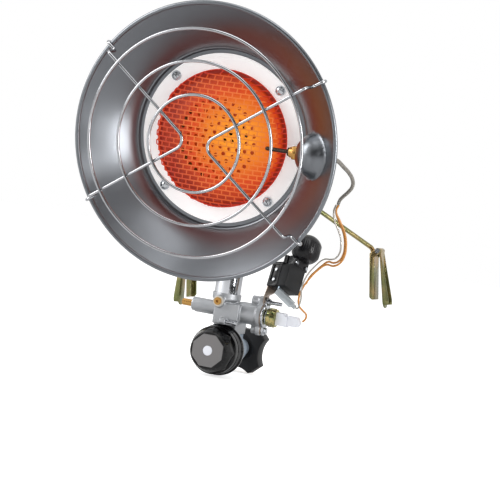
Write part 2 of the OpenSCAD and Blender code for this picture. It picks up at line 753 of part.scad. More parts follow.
module push_stem() {
    tip = stem_r * 0.17;
    color("goldenrod") at_valve() translate([-guide_end - stem_out, 0, 0]) rotate([0, 90, 0]) {
        cylinder(r1 = stem_r - tip, r2 = stem_r, h = tip);
        translate([0, 0, tip]) cylinder(r = stem_r, h = stem_out + stem_hold - tip);
    }
}
module test_plug() {
    head = plug_r * 0.8;
    color("goldenrod") at_plug() difference() {
        union() {
            along_y(plug_r, -head, -seat_gap, $fn = small_fn);
            along_y(plug_r * 0.82, -head / 2, plug_shank_len, $fn = small_fn);
        }
        translate([0, -head - over, 0]) rotate([-90, 0, 0]) cylinder(r = plug_r * 0.45, h = head * 0.7 + over, $fn = 6);
    }
}
module test_plug_ring() {
    ring_t = plug_r * 0.5;
    color("ivory") at_plug() difference() {
        along_y(plug_ring_r, -ring_t, -seat_gap, $fn = small_fn);
        along_y(plug_r + seat_gap, -ring_t - over, over, $fn = small_fn);
    }
}
module cover_plate() {
    from = plate_stack + seat_gap;
    color("darkgray") at_valve() difference() {
        union() {
            flange_plate(from, cover_t, magnet_r + cast_wall, plate_w);
            along_x(magnet_r * 0.6, from, cover_face + cover_hub, $fn = small_fn);
        }
        flange_holes(from - over, cover_face + over);
    }
}
module flange_screws() {
    face = cover_face + seat_gap;
    head_r = flange_screw_r * 1.8;
    head_t = flange_screw_r * 1.2;
    color("lightgray") at_valve() for (up = [true, false])
        translate([0, 0, (up ? 1 : -1) * flange_screw_off]) {
            along_x(flange_screw_r, flange_face - flange_t - cast_wall, face + (up ? screw_tail : over), $fn = small_fn);
            along_x(head_r, face, face + head_t, $fn = small_fn);
        }
}
module magnet_nut() {
    chamfer = magnet_nut_t * 0.15;
    color("darkkhaki") at_valve() translate([cover_face + cover_hub + seat_gap, 0, 0]) rotate([0, 90, 0]) {
        cylinder(r = magnet_nut_r * 0.92, h = magnet_nut_t, $fn = small_fn);
        translate([0, 0, chamfer]) cylinder(r = magnet_nut_r, h = magnet_nut_t - 2 * chamfer, $fn = 6);
    }
}
module connector_socket() {
    step = connector_high * 0.2;
    color("white") at_valve() translate([socket_from, -connector_w / 2, -connector_high / 2]) difference() {
        cube([socket_len, connector_w, connector_high]);
        translate([socket_len - step, -over, connector_high - step])
            cube([step + over, connector_w + 2 * over, step + over]);
    }
}
module connector_plug() {
    high = connector_high * 0.78;
    wide = connector_w * 0.84;
    long = socket_len * 0.92;
    color("white") at_valve() translate([socket_from + socket_len + seat_gap, wide / 2, -high / 2])
        rotate([90, 0, 0]) linear_extrude(wide)
        polygon([[0, 0], [long, 0], [long * 1.2, high * 0.45], [long * 0.9, high], [0, high]]);
}
module vent_screw() {
    color("silver") translate([vent_x + seat_gap, -vent_front, vent_up]) rotate([0, 90, 0]) {
        cylinder(r = vent_screw_r * 0.8, h = vent_len, $fn = small_fn);
        translate([0, 0, vent_len - vent_screw_r]) cylinder(r = vent_screw_r, h = vent_screw_r, $fn = 6);
    }
}

module regulator_body() {
    bonnet = regulator_r * 0.88;
    inlet_end = wheel_gap + wheel_t + run_gap;
    inlet_len = 13.3;
    cone_len = 12;
    shoulder = inlet_end + inlet_len;
    color("slategray") difference() {
        union() {
            rotate([90, 0, 0]) rotate_extrude() polygon([
                [0, inlet_end], [inlet_r, inlet_end], [inlet_r, shoulder], [inlet_r * 1.2, shoulder + cone_len * 0.25],
                [regulator_r, shoulder + cone_len], [regulator_r, bonnet_front - regulator_back],
                [bonnet, bonnet_front - regulator_back + cast_wall * 1.5], [bonnet, bonnet_front], [0, bonnet_front]
            ]);
            translate([0, -neck_front, 0]) cylinder(r = neck_r - cast_wall, h = foot_z - seat_gap);
        }
        along_y(tail_r + seat_gap, -tail_from, 0);
        along_y(adjuster_r + seat_gap, -bonnet_front - over, -bonnet_front + adjuster_hold + over);
    }
}
module adjusting_stem() {
    color("darkgray") along_y(adjuster_r, -knob_back - knob_len * 0.7, -bonnet_front + adjuster_hold, $fn = small_fn);
}
module regulator_knob() {
    groove = knob_r * 0.04;
    skirt = knob_len * 0.07;
    body_r = knob_r * 0.945;
    band = knob_len * 0.34;
    cheek = knob_len * 0.55;
    notch_w = knob_r * 0.23;
    color([0.08, 0.08, 0.08]) difference() {
        translate([0, -knob_back, 0]) rotate([90, 0, 0]) intersection() {
            rotate_extrude() polygon([
                [0, 0], [knob_r, 0], [knob_r, skirt], [body_r, skirt * 1.6], [body_r, band],
                [body_r - groove, band * 1.04], [body_r - groove, band * 1.14], [body_r, band * 1.18],
                [body_r * 0.985, cheek], [knob_front_r * 1.07, knob_len * 0.945],
                [knob_front_r, knob_len], [0, knob_len]
            ]);
            union() {
                cylinder(r = knob_r + over, h = cheek);
                cylinder(r = knob_front_r * 1.2 / cos(22.5), h = knob_len + over, $fn = 8);
            }
        }
        // Recess behind the skirt and bore for the adjusting stem
        along_y(knob_r * 0.81, -knob_back - knob_len * 0.22, -knob_back + over);
        along_y(adjuster_r + tight_gap, -knob_back - knob_len * 0.7, -knob_back + over);
        // Seat of the face plate
        translate([0, -knob_front_y - over, 0]) rotate([-90, 22.5, 0])
            cylinder(r = knob_front_r * 0.89 / cos(22.5) + seat_gap, h = knob_face_t + over, $fn = 8);
        // Two finger notches in the skirt's edge
        for (a = [0, 118]) rotate([0, a, 0]) translate([-notch_w / 2, -knob_back - skirt, -knob_r - over])
            cube([notch_w, skirt + over, notch_w / 2]);
    }
}
module knob_face() {
    color("darkgray") translate([0, -knob_front_y + seat_gap, 0]) difference() {
        rotate([-90, 22.5, 0]) cylinder(r = knob_front_r * 0.89 / cos(22.5), h = knob_face_t - seat_gap * 2, $fn = 8);
        along_y(knob_front_r * 0.28, -over, knob_face_t * 0.4);
    }
}

grip_from = wheel_gap + wheel_t * 0.69;
module hand_wheel() {
    half = 30;
    corner = wheel_r * [cos(half), sin(half)];
    floor_r = corner[0] - wheel_hollow;
    hollow_r = (corner[1] * corner[1] + wheel_hollow * wheel_hollow) / (2 * wheel_hollow);
    front = -wheel_gap - wheel_t;
    color([0.12, 0.12, 0.12]) difference() {
        translate([0, -wheel_gap, 0]) rotate([90, 0, 0]) linear_extrude(wheel_t) rotate(wheel_turn_rest) difference() {
            square(2 * wheel_r * cos(45 - half), center = true);
            for (a = [45 : 90 : 315]) rotate(a) translate([floor_r + hollow_r, 0]) circle(r = hollow_r);
        }
        along_y(grip_r + tight_gap, -grip_from, over);
        along_y(tail_r + tail_clearance, front - over, over);
        // Shallow dish in the front face
        along_y(inlet_r * 1.3, front - over, front + wheel_t * 0.08);
    }
}
module outlet_nut() {
    chamfer = 1.5;
    color("goldenrod") difference() {
        union() {
            along_y(grip_r, -grip_from + seat_gap, over);
            along_y(outlet_r, 0, outlet_len - chamfer);
            translate([0, outlet_len - chamfer, 0]) rotate([-90, 0, 0])
                cylinder(r1 = outlet_r, r2 = outlet_r - chamfer, h = chamfer);
        }
        along_y(tail_r + tail_clearance, -wheel_t, outlet_len + over);
    }
}
seal_from = 2.5;
seal_t = 2;
nose_neck_r = nose_r * 0.86;
module gas_tailpiece() {
    from = outlet_len + run_gap;
    color("darkgoldenrod") difference() {
        union() {
            along_y(tail_r, -tail_from + seat_gap, from + over);
            rotate([-90, 0, 0]) rotate_extrude() polygon([
                [0, from], [nose_r, from], [nose_r, from + seal_from], [nose_neck_r, from + seal_from],
                [nose_neck_r, from + seal_from + seal_t], [nose_r * 0.95, from + seal_from + seal_t],
                [nose_r * 0.76, from + nose_r * 0.95], [0, from + nose_r * 1.07]
            ]);
        }
        along_y(tail_r * 0.38, -tail_from - over, from + nose_r * 1.2, $fn = small_fn);
    }
}
module nose_seal() {
    from = outlet_len + run_gap + seal_from;
    color([0.1, 0.1, 0.1]) difference() {
        along_y(nose_r, from + seat_gap, from + seal_t - seat_gap);
        along_y(nose_neck_r + seat_gap / 2, from - over, from + seal_t + over);
    }
}

// A solid between two four-cornered ends
module bracket_link(a, b) {
    sides = [for (k = [0 : 3]) let (m = (k + 1) % 4) each [[k, k + 4, m + 4], [k, m + 4, m]]];
    polyhedron(points = concat(a, b), faces = concat([[0, 1, 2, 3], [7, 6, 5, 4]], sides));
}
module switch_bracket() {
    foot = [flange_face + seat_gap, -tube_front, valve_up];
    plate_x = -switch_w - snap_w - bracket_t - seat_gap;
    strip_w = flange_w_share * magnet_r;
    plate_d = switch_d * 0.68;
    plate_in = switch_d * 0.12;
    plate_low = switch_h * 0.04;
    plate_h = switch_h * 0.85;
    strip_from = flange_screw_off - cast_wall;
    link_from = flange_screw_off + plate_w * 0.63;
    color("rosybrown") difference() {
        union() {
            at_valve() flange_plate(flange_face + seat_gap, bracket_t, magnet_r + cast_wall, plate_w);
            translate(foot + [lap_skin, -strip_w / 2 + lap_skin, strip_from])
                cube([bracket_t - 2 * lap_skin, strip_w - 2 * lap_skin, link_from + bracket_t * 0.8 - strip_from]);
            bracket_link(
                [for (c = [[0, -1], [bracket_t, -1], [bracket_t, 1], [0, 1]])
                    foot + [c[0], c[1] * strip_w / 2, link_from]],
                [for (c = [[0, 0], [bracket_t, 0], [bracket_t, plate_d], [0, plate_d]])
                    switch_at + turned([plate_x + c[0], plate_in + c[1], plate_low * 2], switch_turn)]);
            at_switch() translate([plate_x, plate_in, plate_low] - [1, 1, 0] * lap_skin)
                cube([bracket_t + 2 * lap_skin, plate_d + 2 * lap_skin, plate_h]);
        }
        at_valve() along_x(magnet_r * 0.65, flange_face - over, plate_stack + over);
        at_valve() flange_holes(flange_face - over, plate_stack + over);
    }
}
module switch_housing() {
    recess_x = switch_w * 0.16;
    recess_z = switch_h * 0.19;
    color([0.1, 0.1, 0.11]) at_switch() {
        difference() {
            translate([-switch_w - snap_w, 0, 0]) cube([switch_w - seat_gap, switch_d, switch_h]);
            translate([-switch_w - snap_w + recess_x, -over, recess_z])
                cube([switch_w - 2.4 * recess_x, over + rivet_r, switch_h - 1.6 * recess_z]);
        }
        // Round post that carries the ball housing
        translate([-snap_w - switch_w / 4, switch_d * 0.3, switch_h - over])
            cylinder(r = switch_w * 0.21, h = ball_up - ball_r * 0.65 - switch_h + over, $fn = small_fn);
    }
}
module snap_switch() {
    step = snap_w * 0.3;
    color([0.13, 0.13, 0.14]) at_switch() difference() {
        translate([-snap_w, 0, 0]) cube([snap_w, switch_d, switch_h]);
        translate([-snap_w - over, -over, switch_h - step]) cube([snap_w + 2 * over, step + 2 * over, step + over]);
    }
}
module ball_housing() {
    base = switch_h + seat_gap;
    low = ball_r * 0.86;
    color([0.07, 0.07, 0.08]) at_switch() {
        translate([ball_r * 0.29, switch_d / 2, ball_up]) intersection() {
            sphere(r = ball_r * 1.09);
            translate([0, 0, -low]) cylinder(r = ball_r, h = ball_r + low);
        }
        translate([-snap_w * 0.9, switch_d * 0.24, base])
            cube([snap_w * 0.9, switch_d * 0.84, ball_up - low - base + ball_r * 0.2]);
    }
}
module switch_rivets() {
    z = switch_h + 2 * rivet_r;
    color("silver") at_switch() {
        for (y = [switch_d * 0.32, switch_d * 0.96])
            translate([0, y, z]) along_x(rivet_r * 1.2, seat_gap, rivet_r, $fn = wire_fn);
        for (zz = [switch_h * 0.27, switch_h * 0.69]) translate([-switch_w * 0.54 - snap_w, 0, zz])
            along_y(rivet_r, rivet_r * 0.15, rivet_r - seat_gap, $fn = wire_fn);
    }
}
module switch_terminals() {
    tab_w = snap_w * 0.55;
    tab_t = snap_w * 0.1;
    tab_len = switch_d * 0.24;
    post_len = switch_h * 0.23;
    color("lightsteelblue") at_switch() {
        for (z = [switch_h * 0.5, switch_h * 0.19])
            translate([-snap_w * 0.75, switch_d + seat_gap, z]) cube([tab_w, tab_len, tab_t]);
        translate([-snap_w * 0.48, switch_d + tab_len * 0.6, switch_h * 0.5 + tab_t / 2])
            cylinder(r = tab_w * 0.47, h = tab_t * 3, $fn = small_fn);
        translate([-snap_w * 0.85, switch_d * 0.06, -post_len]) cube([tab_t * 0.8, tab_w / 2, post_len - seat_gap]);
    }
}
module spade_connector() {
    long = 21;
    wide = long * 0.34;
    mouth = long * 0.19;
    color("whitesmoke") translate(spade_at) rotate([0, 33, 0]) {
        difference() {
            translate([-mouth, -wide / 2, -wide * 0.47]) cube([long, wide, wide * 0.94]);
            translate([-mouth - over, -wide * 0.36, -wide * 0.14]) cube([long / 3 + over, wide * 0.72, wide]);
        }
        translate([long - mouth, 0, 0]) along_x(wide * 0.3, 0, mouth, $fn = wire_fn);
    }
}

module support_clamp() {
    ring = tube_r + seat_gap;
    pad_w = clamp_high;
    color("darkgray") translate([0, -tube_front, support_up]) difference() {
        union() {
            translate([0, 0, -clamp_high / 2]) cylinder(r = ring + clamp_t, h = clamp_high);
            translate([-pad_w / 2, ring, -clamp_high / 2]) cube([pad_w, tube_front - pad_back - ring, clamp_high]);
        }
        translate([0, 0, -clamp_high / 2 - over]) cylinder(r = ring, h = clamp_high + 2 * over);
        along_y(support_screw_r * 0.85, 0, tube_front, $fn = small_fn);
    }
}
module support_screw() {
    head_at = -pad_back + 2 * (support_wire_r + seat_gap) + seat_gap;
    head_r = 2 * support_screw_r;
    color("silver") translate([0, 0, support_up]) {
        along_y(support_screw_r, -pad_back + seat_gap / 2, head_at + seat_gap, $fn = small_fn);
        along_y(support_screw_r * 0.8, -pad_back - clamp_t, -pad_back + over, $fn = small_fn);
        translate([0, head_at, 0]) rotate([-90, 0, 0]) cylinder(r = head_r, h = support_screw_r, $fn = 6);
    }
}
module support_arm(side) {
    foot = web_top + inner_jaw_len * 0.6;
    bar_run([
        [0, 0, eye_r],
        [side * 2 * eye_r, 0, eye_r],
        [side * arm_out, arm_back, -arm_drop],
        [side * arm_out, arm_back, -foot]
    ], [arm_bend, arm_bend], support_wire_r, $fn = wire_fn);
}
module support_wire() {
    color("darkkhaki") at_support() {
        rotate([90, 0, 0]) rotate_extrude($fn = small_fn) translate([eye_r, 0]) circle(r = support_wire_r, $fn = wire_fn);
        support_arm(1);
        support_arm(-1);
    }
}
module on_arm(side) {
    at_support() mirror([side < 0 ? 1 : 0, 0, 0]) translate([0, arm_back, 0]) children();
}
module inner_jaw(side) {
    low = web_top + inner_jaw_len;
    ear_r = pin_r + jaw_t;
    flange_x = web_x - jaw_deep;
    color("darkkhaki") on_arm(side) difference() {
        union() {
            translate([web_x - jaw_t, -ear_y - jaw_t, -low]) cube([jaw_t, 2 * (ear_y + jaw_t), inner_jaw_len]);
            // Side flanges that run up beside the barrel and carry the pin
            for (y = [-ear_y - jaw_t, ear_y]) translate([0, y + jaw_t, 0]) rotate([90, 0, 0]) linear_extrude(jaw_t) {
                polygon([
                    [flange_x, -low + jaw_deep / 2], [flange_x + jaw_deep / 2, -low], [web_x, -low],
                    [web_x, -web_top - ear_r], [pin_out + ear_r * 0.7, -pin_drop - ear_r * 0.7],
                    [pin_out - ear_r * 0.5, -pin_drop + ear_r * 0.85], [flange_x, -web_top + jaw_t]
                ]);
                translate([pin_out, -pin_drop]) circle(r = ear_r, $fn = small_fn);
            }
        }
        translate([pin_out, -jaw_w, -pin_drop]) rotate([-90, 0, 0]) cylinder(r = pin_r, h = 2 * jaw_w, $fn = small_fn);
    }
}
// The outer jaw is a boat-shaped channel, open outwards, that deepens to a round foot
module outer_jaw_side(wide) {
    face = barrel_r - jaw_t;
    translate([0, wide / 2, 0]) rotate([90, 0, 0]) linear_extrude(wide) polygon([
        [face, barrel_r / 2], [face, -jaw_len - over], [face + jaw_foot_deep, -jaw_len - over],
        [face + jaw_foot_deep, -jaw_len * 0.85], [face + jaw_foot_deep * 0.75, -jaw_len * 0.6],
        [barrel_r, -barrel_r], [barrel_r, barrel_r / 2]
    ]);
}
module outer_jaw(side) {
    color("olivedrab") on_arm(side) translate([pin_out, 0, -pin_drop]) difference() {
        union() {
            translate([0, -jaw_w / 2, 0]) rotate([-90, 0, 0]) cylinder(r = barrel_r, h = jaw_w, $fn = small_fn);
            rotate([0, -jaw_lean, 0]) intersection() {
                difference() {
                    outer_jaw_side(jaw_w);
                    translate([jaw_t, 0, 0]) outer_jaw_side(jaw_w - 2 * jaw_t);
                }
                rotate([0, 90, 0]) linear_extrude(jaw_len) {
                    translate([-barrel_r, -jaw_w / 2]) square([jaw_len + barrel_r - jaw_w / 2, jaw_w]);
                    translate([jaw_len - jaw_w / 2, 0]) circle(r = jaw_w / 2, $fn = small_fn);
                }
            }
        }
        translate([0, -jaw_w, 0]) rotate([-90, 0, 0]) cylinder(r = pin_r + seat_gap, h = 2 * jaw_w, $fn = small_fn);
    }
}
module jaw_pin(side) {
    reach = ear_y + jaw_t;
    head_t = jaw_t * 0.6;
    color("gray") on_arm(side) translate([pin_out, -reach, -pin_drop]) rotate([-90, 0, 0]) {
        cylinder(r = pin_r - tight_gap, h = 2 * reach + jaw_t, $fn = small_fn);
        translate([0, 0, -head_t - seat_gap]) cylinder(r = pin_r * 1.6, h = head_t, $fn = small_fn);
        translate([0, 0, -head_t - seat_gap]) cylinder(r = pin_r - tight_gap, h = head_t * 2, $fn = small_fn);
    }
}
module right_inner_jaw() { inner_jaw(1); }
module right_outer_jaw() { outer_jaw(1); }
module right_jaw_pin() { jaw_pin(1); }
module left_inner_jaw() { inner_jaw(-1); }
module left_outer_jaw() { outer_jaw(-1); }
module left_jaw_pin() { jaw_pin(-1); }

reflector_dish();
burner_plate();
plate_screws();
burner_screen();
burner_radiant();
burner_pan();
mixing_tube();
gas_jet();
guard_outer_ring();
guard_middle_ring();
guard_inner_ring();
guard_left_spoke();
guard_right_spoke();
thermocouple();
thermocouple_nut();
thermocouple_lead();
terminal_wire();
connector_wire();
spade_wire();
valve_body();
push_stem();
test_plug();
test_plug_ring();
cover_plate();
flange_screws();
magnet_nut();
connector_socket();
connector_plug();
vent_screw();
regulator_body();
adjusting_stem();
regulator_knob();
knob_face();
hand_wheel();
outlet_nut();
gas_tailpiece();
nose_seal();
switch_bracket();
switch_housing();
snap_switch();
ball_housing();
switch_rivets();
switch_terminals();
spade_connector();
support_clamp();
support_screw();
support_wire();
right_inner_jaw();
right_outer_jaw();
right_jaw_pin();
left_inner_jaw();
left_outer_jaw();
left_jaw_pin();
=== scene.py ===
import math

import bpy
from mathutils import Matrix, Vector


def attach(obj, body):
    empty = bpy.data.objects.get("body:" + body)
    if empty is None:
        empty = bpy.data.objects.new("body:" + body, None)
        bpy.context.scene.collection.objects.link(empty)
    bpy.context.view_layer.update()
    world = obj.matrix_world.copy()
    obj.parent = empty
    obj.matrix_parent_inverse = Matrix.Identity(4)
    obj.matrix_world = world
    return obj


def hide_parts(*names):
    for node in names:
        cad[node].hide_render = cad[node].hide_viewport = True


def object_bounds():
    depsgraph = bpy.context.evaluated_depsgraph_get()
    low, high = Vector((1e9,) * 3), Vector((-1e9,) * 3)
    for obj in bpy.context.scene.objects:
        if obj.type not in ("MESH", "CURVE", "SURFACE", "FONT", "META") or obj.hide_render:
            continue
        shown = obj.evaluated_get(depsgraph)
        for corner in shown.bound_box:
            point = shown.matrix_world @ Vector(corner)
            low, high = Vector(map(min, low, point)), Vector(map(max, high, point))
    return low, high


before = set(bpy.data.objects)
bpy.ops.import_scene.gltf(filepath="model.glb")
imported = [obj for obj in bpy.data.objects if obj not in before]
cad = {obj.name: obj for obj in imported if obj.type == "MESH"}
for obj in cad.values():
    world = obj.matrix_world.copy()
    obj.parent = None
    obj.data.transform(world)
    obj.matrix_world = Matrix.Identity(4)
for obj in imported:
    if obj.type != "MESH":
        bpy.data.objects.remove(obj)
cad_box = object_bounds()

scene = bpy.context.scene

# Camera
# A long lens two metres in front of the heater and a little to its right, turned about its
# own axis so that the heater leans as it does in the photo.
camera_place = Vector((0.71434, -2.08737, 0.19710))
view_way = Vector((-0.32833, 0.94355, -0.04364)).normalized()
bearing = math.radians(19.19)
lean = math.radians(9.09)
level_right = Vector((math.cos(bearing), math.sin(bearing), 0))
level_up = level_right.cross(view_way)
camera_right = level_right * math.cos(lean) + level_up * math.sin(lean)
camera_up = level_up * math.cos(lean) - level_right * math.sin(lean)
camera_data = bpy.data.cameras.new("camera")
camera_data.sensor_width = 36
camera_data.lens = 152.64
camera = bpy.data.objects.new("camera", camera_data)
scene.collection.objects.link(camera)
camera.matrix_world = Matrix((
    (camera_right.x, camera_up.x, -view_way.x, camera_place.x),
    (camera_right.y, camera_up.y, -view_way.y, camera_place.y),
    (camera_right.z, camera_up.z, -view_way.z, camera_place.z),
    (0, 0, 0, 1)))
scene.camera = camera
scene.view_settings.view_transform = "Standard"


# Studio
# A pale floor under the heater, a white room round it, and soft lamps. Dark cards stand
# round the front, as in product photography, so that bright metal shows its shape.
def colour(code):
    """An sRGB hex colour as linear red, green, blue and alpha."""
    parts = [int(code[i:i + 2], 16) / 255 for i in (1, 3, 5)]
    linear = [v / 12.92 if v <= 0.04045 else ((v + 0.055) / 1.055) ** 2.4 for v in parts]
    return (*linear, 1.0)


def add_node(tree, kind, values=None, links=None, **fields):
    """One shader node, with its fields, its socket values and its links."""
    made = tree.nodes.new(kind)
    for field, value in fields.items():
        setattr(made, field, value)
    for socket, value in (values or {}).items():
        made.inputs[socket].default_value = value
    for socket, source in (links or {}).items():
        tree.links.new(source, made.inputs[socket])
    return made


def new_finish(name, base, rough, metal=0.0, **more):
    """A material with one Principled shader; returns it, its tree and the shader."""
    made = bpy.data.materials.new(name)
    made.use_nodes = True
    shader = made.node_tree.nodes["Principled BSDF"]
    shader.inputs["Base Color"].default_value = colour(base)
    shader.inputs["Roughness"].default_value = rough
    shader.inputs["Metallic"].default_value = metal
    for socket, value in more.items():
        shader.inputs[socket.replace("_", " ")].default_value = value
    return made, made.node_tree, shader


white = colour("#FFFFFF")
light_on_object = 0.5
light_as_seen = 1.0
room = bpy.data.worlds.new("white_room")
scene.world = room
room.use_nodes = True
tree = room.node_tree
tree.nodes.clear()
path = add_node(tree, "ShaderNodeLightPath")
seen = add_node(tree, "ShaderNodeMath", operation="MAXIMUM", links={
    0: path.outputs["Is Camera Ray"], 1: path.outputs["Is Glossy Ray"]})
seen = add_node(tree, "ShaderNodeMath", operation="MAXIMUM", links={
    0: seen.outputs[0], 1: path.outputs["Is Transmission Ray"]})
lit = add_node(tree, "ShaderNodeBackground", {"Color": white, "Strength": light_on_object})
shown = add_node(tree, "ShaderNodeBackground", {"Color": white, "Strength": light_as_seen})
mix = add_node(tree, "ShaderNodeMixShader", links={
    0: seen.outputs[0], 1: lit.outputs[0], 2: shown.outputs[0]})
add_node(tree, "ShaderNodeOutputWorld", links={"Surface": mix.outputs[0]})

# The floor is lifted to white for the camera alone, and keeps the heater's shadow
floor_gap = 0.0005
floor_lift = 0.6
bpy.ops.object.select_all(action="DESELECT")
bpy.ops.mesh.primitive_plane_add(size=6, location=(0, 0, cad_box[0].z - floor_gap))
floor = bpy.context.object
floor.name = "studio_floor"
floor_paint, tree, shader = new_finish("matt_white_floor", "#F4F4F4", 0.95)
path = add_node(tree, "ShaderNodeLightPath")
glow = add_node(tree, "ShaderNodeEmission", {"Color": white, "Strength": floor_lift})
clear = add_node(tree, "ShaderNodeEmission", {"Color": white, "Strength": 0.0})
lift = add_node(tree, "ShaderNodeMixShader", links={
    0: path.outputs["Is Camera Ray"], 1: clear.outputs[0], 2: glow.outputs[0]})
both = add_node(tree, "ShaderNodeAddShader", links={0: shader.outputs[0], 1: lift.outputs[0]})
tree.links.new(both.outputs[0], tree.nodes["Material Output"].inputs["Surface"])
floor.data.materials.append(floor_paint)


def soft_lamp(name, place, aim, width, height, watts, only_gloss=False):
    """A rectangular soft lamp that looks at a point, or a strip seen only in bright metal."""
    lamp_data = bpy.data.lights.new(name, "AREA")
    lamp_data.shape = "RECTANGLE"
    lamp_data.size = width
    lamp_data.size_y = height
    lamp_data.energy = watts
    lamp = bpy.data.objects.new(name, lamp_data)
    scene.collection.objects.link(lamp)
    lamp.location = place
    lamp.visible_camera = False
    lamp.visible_diffuse = not only_gloss
    lamp.rotation_euler = (Vector(aim) - Vector(place)).to_track_quat("-Z", "Y").to_euler()


heater_middle = (0, -0.1, 0.12)
soft_lamp("lamp_left", (-1.5, -1.1, 0.9), heater_middle, 0.7, 1.4, 26)
soft_lamp("lamp_right", (1.6, -1.0, 0.7), heater_middle, 0.8, 1.2, 16)
soft_lamp("lamp_above", (0.1, -0.5, 1.9), heater_middle, 1.2, 1.2, 12)
soft_lamp("lamp_side", (0.8, -0.42, 0.22), (0, -0.15, 0.22), 0.16, 0.4, 4.0, only_gloss=True)

# Black velvet gives no light back, so the cards show only as dark bands in bright metal
dish_middle = Vector((0, -0.2, 0.2))
dark_card = new_finish("black_velvet_card", "#161616", 1.0)[0]
for name, place, width, height in (
        ("card_front", (-0.1, -3.0, 0.75), 1.9, 2.6),
        ("card_low", (1.0, -0.7, 0.1), 1.5, 0.6),
        ("card_left", (-1.5, -1.6, -0.3), 1.3, 0.9),
        ("card_high", (1.0, -0.9, 0.95), 1.5, 0.7)):
    bpy.ops.object.select_all(action="DESELECT")
    bpy.ops.mesh.primitive_plane_add(size=1, location=place)
    card = bpy.context.object
    card.name = name
    card.scale = (width, height, 1)
    card.rotation_euler = (dish_middle - Vector(place)).to_track_quat("-Z", "Y").to_euler()
    card.data.materials.append(dark_card)
    card.visible_camera = False
    card.visible_diffuse = False
    card.visible_shadow = False
    card.visible_transmission = False


# Reflector dish
# A bowl spun from bright aluminium sheet with a rolled rim, and a ball-shaped boss pressed
# into its right side for the thermocouple. It carries the burner and the guard.
mm = 0.001
dish_up = 221
dish_front = 82
dish_tilt = 97.4
rim_reach = 135
dish_place = (Matrix.Translation((0, -dish_front * mm, dish_up * mm))
              @ Matrix.Rotation(math.radians(dish_tilt), 4, "X")
              @ Matrix.Translation((0, 0, rim_reach * mm)))
weld = 0.002 * mm


def choose(piece):
    """Makes a piece the only chosen one and the active one."""
    bpy.ops.object.select_all(action="DESELECT")
    piece.select_set(True)
    bpy.context.view_layer.objects.active = piece


def made_from(name, points, edges):
    """A new object with a mesh of points in millimetres and edges."""
    mesh = bpy.data.meshes.new(name)
    mesh.from_pydata([[v * mm for v in p] for p in points], edges, [])
    made = bpy.data.objects.new(name, mesh)
    scene.collection.objects.link(made)
    choose(made)
    return made


def spun(name, profile, steps, closed=True):
    """A turned piece: a profile of radius and height in millimetres, spun about Z."""
    count = len(profile)
    edges = [(i, (i + 1) % count) for i in range(count if closed else count - 1)]
    made = made_from(name, [(r, 0, z) for r, z in profile], edges)
    bpy.ops.object.mode_set(mode="EDIT")
    bpy.ops.mesh.select_all(action="SELECT")
    bpy.ops.mesh.spin(steps=steps, angle=math.tau, center=(0, 0, 0), axis=(0, 0, 1))
    bpy.ops.mesh.select_all(action="SELECT")
    bpy.ops.mesh.remove_doubles(threshold=weld)
    bpy.ops.mesh.normals_make_consistent(inside=False)
    bpy.ops.object.mode_set(mode="OBJECT")
    bpy.ops.object.shade_smooth_by_angle(angle=math.radians(40))
    return made


def put(piece, place):
    """Moves a piece to its place and writes the place into its mesh."""
    choose(piece)
    piece.matrix_world = place
    bpy.ops.object.transform_apply(location=True, rotation=True, scale=True)


def join_in(piece, body, slot, finish, *nodes):
    """Gives a finished piece its body, its finish and the CAD nodes it replaces; the slot is not
    used.
    """
    piece.data.materials.clear()
    piece.data.materials.append(finish)
    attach(piece, body)
    if nodes:
        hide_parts(*nodes)


def object_place(tree, turn=None):
    """Object coordinates, turned into the frame of a piece's own axis where one is given."""
    place = add_node(tree, "ShaderNodeTexCoord")
    if turn is None:
        return place.outputs["Object"]
    back = turn.inverted()
    return add_node(
        tree, "ShaderNodeMapping", {"Location": back.translation, "Rotation": back.to_euler()},
        {"Vector": place.outputs["Object"]}).outputs[0]


def vary_gloss(tree, shader, pattern, low, high):
    """Lets the roughness run from low to high over the middle of a pattern."""
    ramp = add_node(
        tree, "ShaderNodeMapRange",
        {"From Min": 0.3, "From Max": 0.7, "To Min": low, "To Max": high},
        {"Value": pattern.outputs["Fac"]})
    tree.links.new(ramp.outputs[0], shader.inputs["Roughness"])


def grain(tree, shader, size_mm, depth_mm, low, high, strength=0.6):
    """A bump of that grain size and depth, and a roughness that follows it."""
    noise = add_node(tree, "ShaderNodeTexNoise", {"Scale": 1000 / size_mm, "Detail": 3.0},
                     {"Vector": object_place(tree)})
    bump = add_node(tree, "ShaderNodeBump", {"Strength": strength, "Distance": depth_mm * mm},
                    {"Height": noise.outputs["Fac"]})
    tree.links.new(bump.outputs[0], shader.inputs["Normal"])
    vary_gloss(tree, shader, noise, low, high)
    return noise


def radius_about(tree, turn):
    """The distance from an axis, in metres."""
    flat = add_node(tree, "ShaderNodeVectorMath", {1: (1, 1, 0)},
                    {0: object_place(tree, turn)}, operation="MULTIPLY")
    return add_node(tree, "ShaderNodeVectorMath", links={0: flat.outputs[0]},
                    operation="LENGTH").outputs["Value"]


dish_r = 133
bead_r = 2.2
bowl_depth = 46
foot_r = 88
foot_bend = [(-1.2, -0.6), (-2, -2.7), (-2.6, -3.5)]
seat_z = -bowl_depth + foot_bend[-1][1]
seat_hole_r = 70.8
seat_t = 1
wall_out = 1
wall_back = 0.4
mouth_r = dish_r - 2 * bead_r
wall_curve = 1.25
wall_steps = 40


def wall_at(share):
    """Radius and height of the bowl's inner face, from the rim at 0 to the foot at 1."""
    return foot_r + (mouth_r - foot_r) * (1 - share) ** wall_curve, -bowl_depth * share


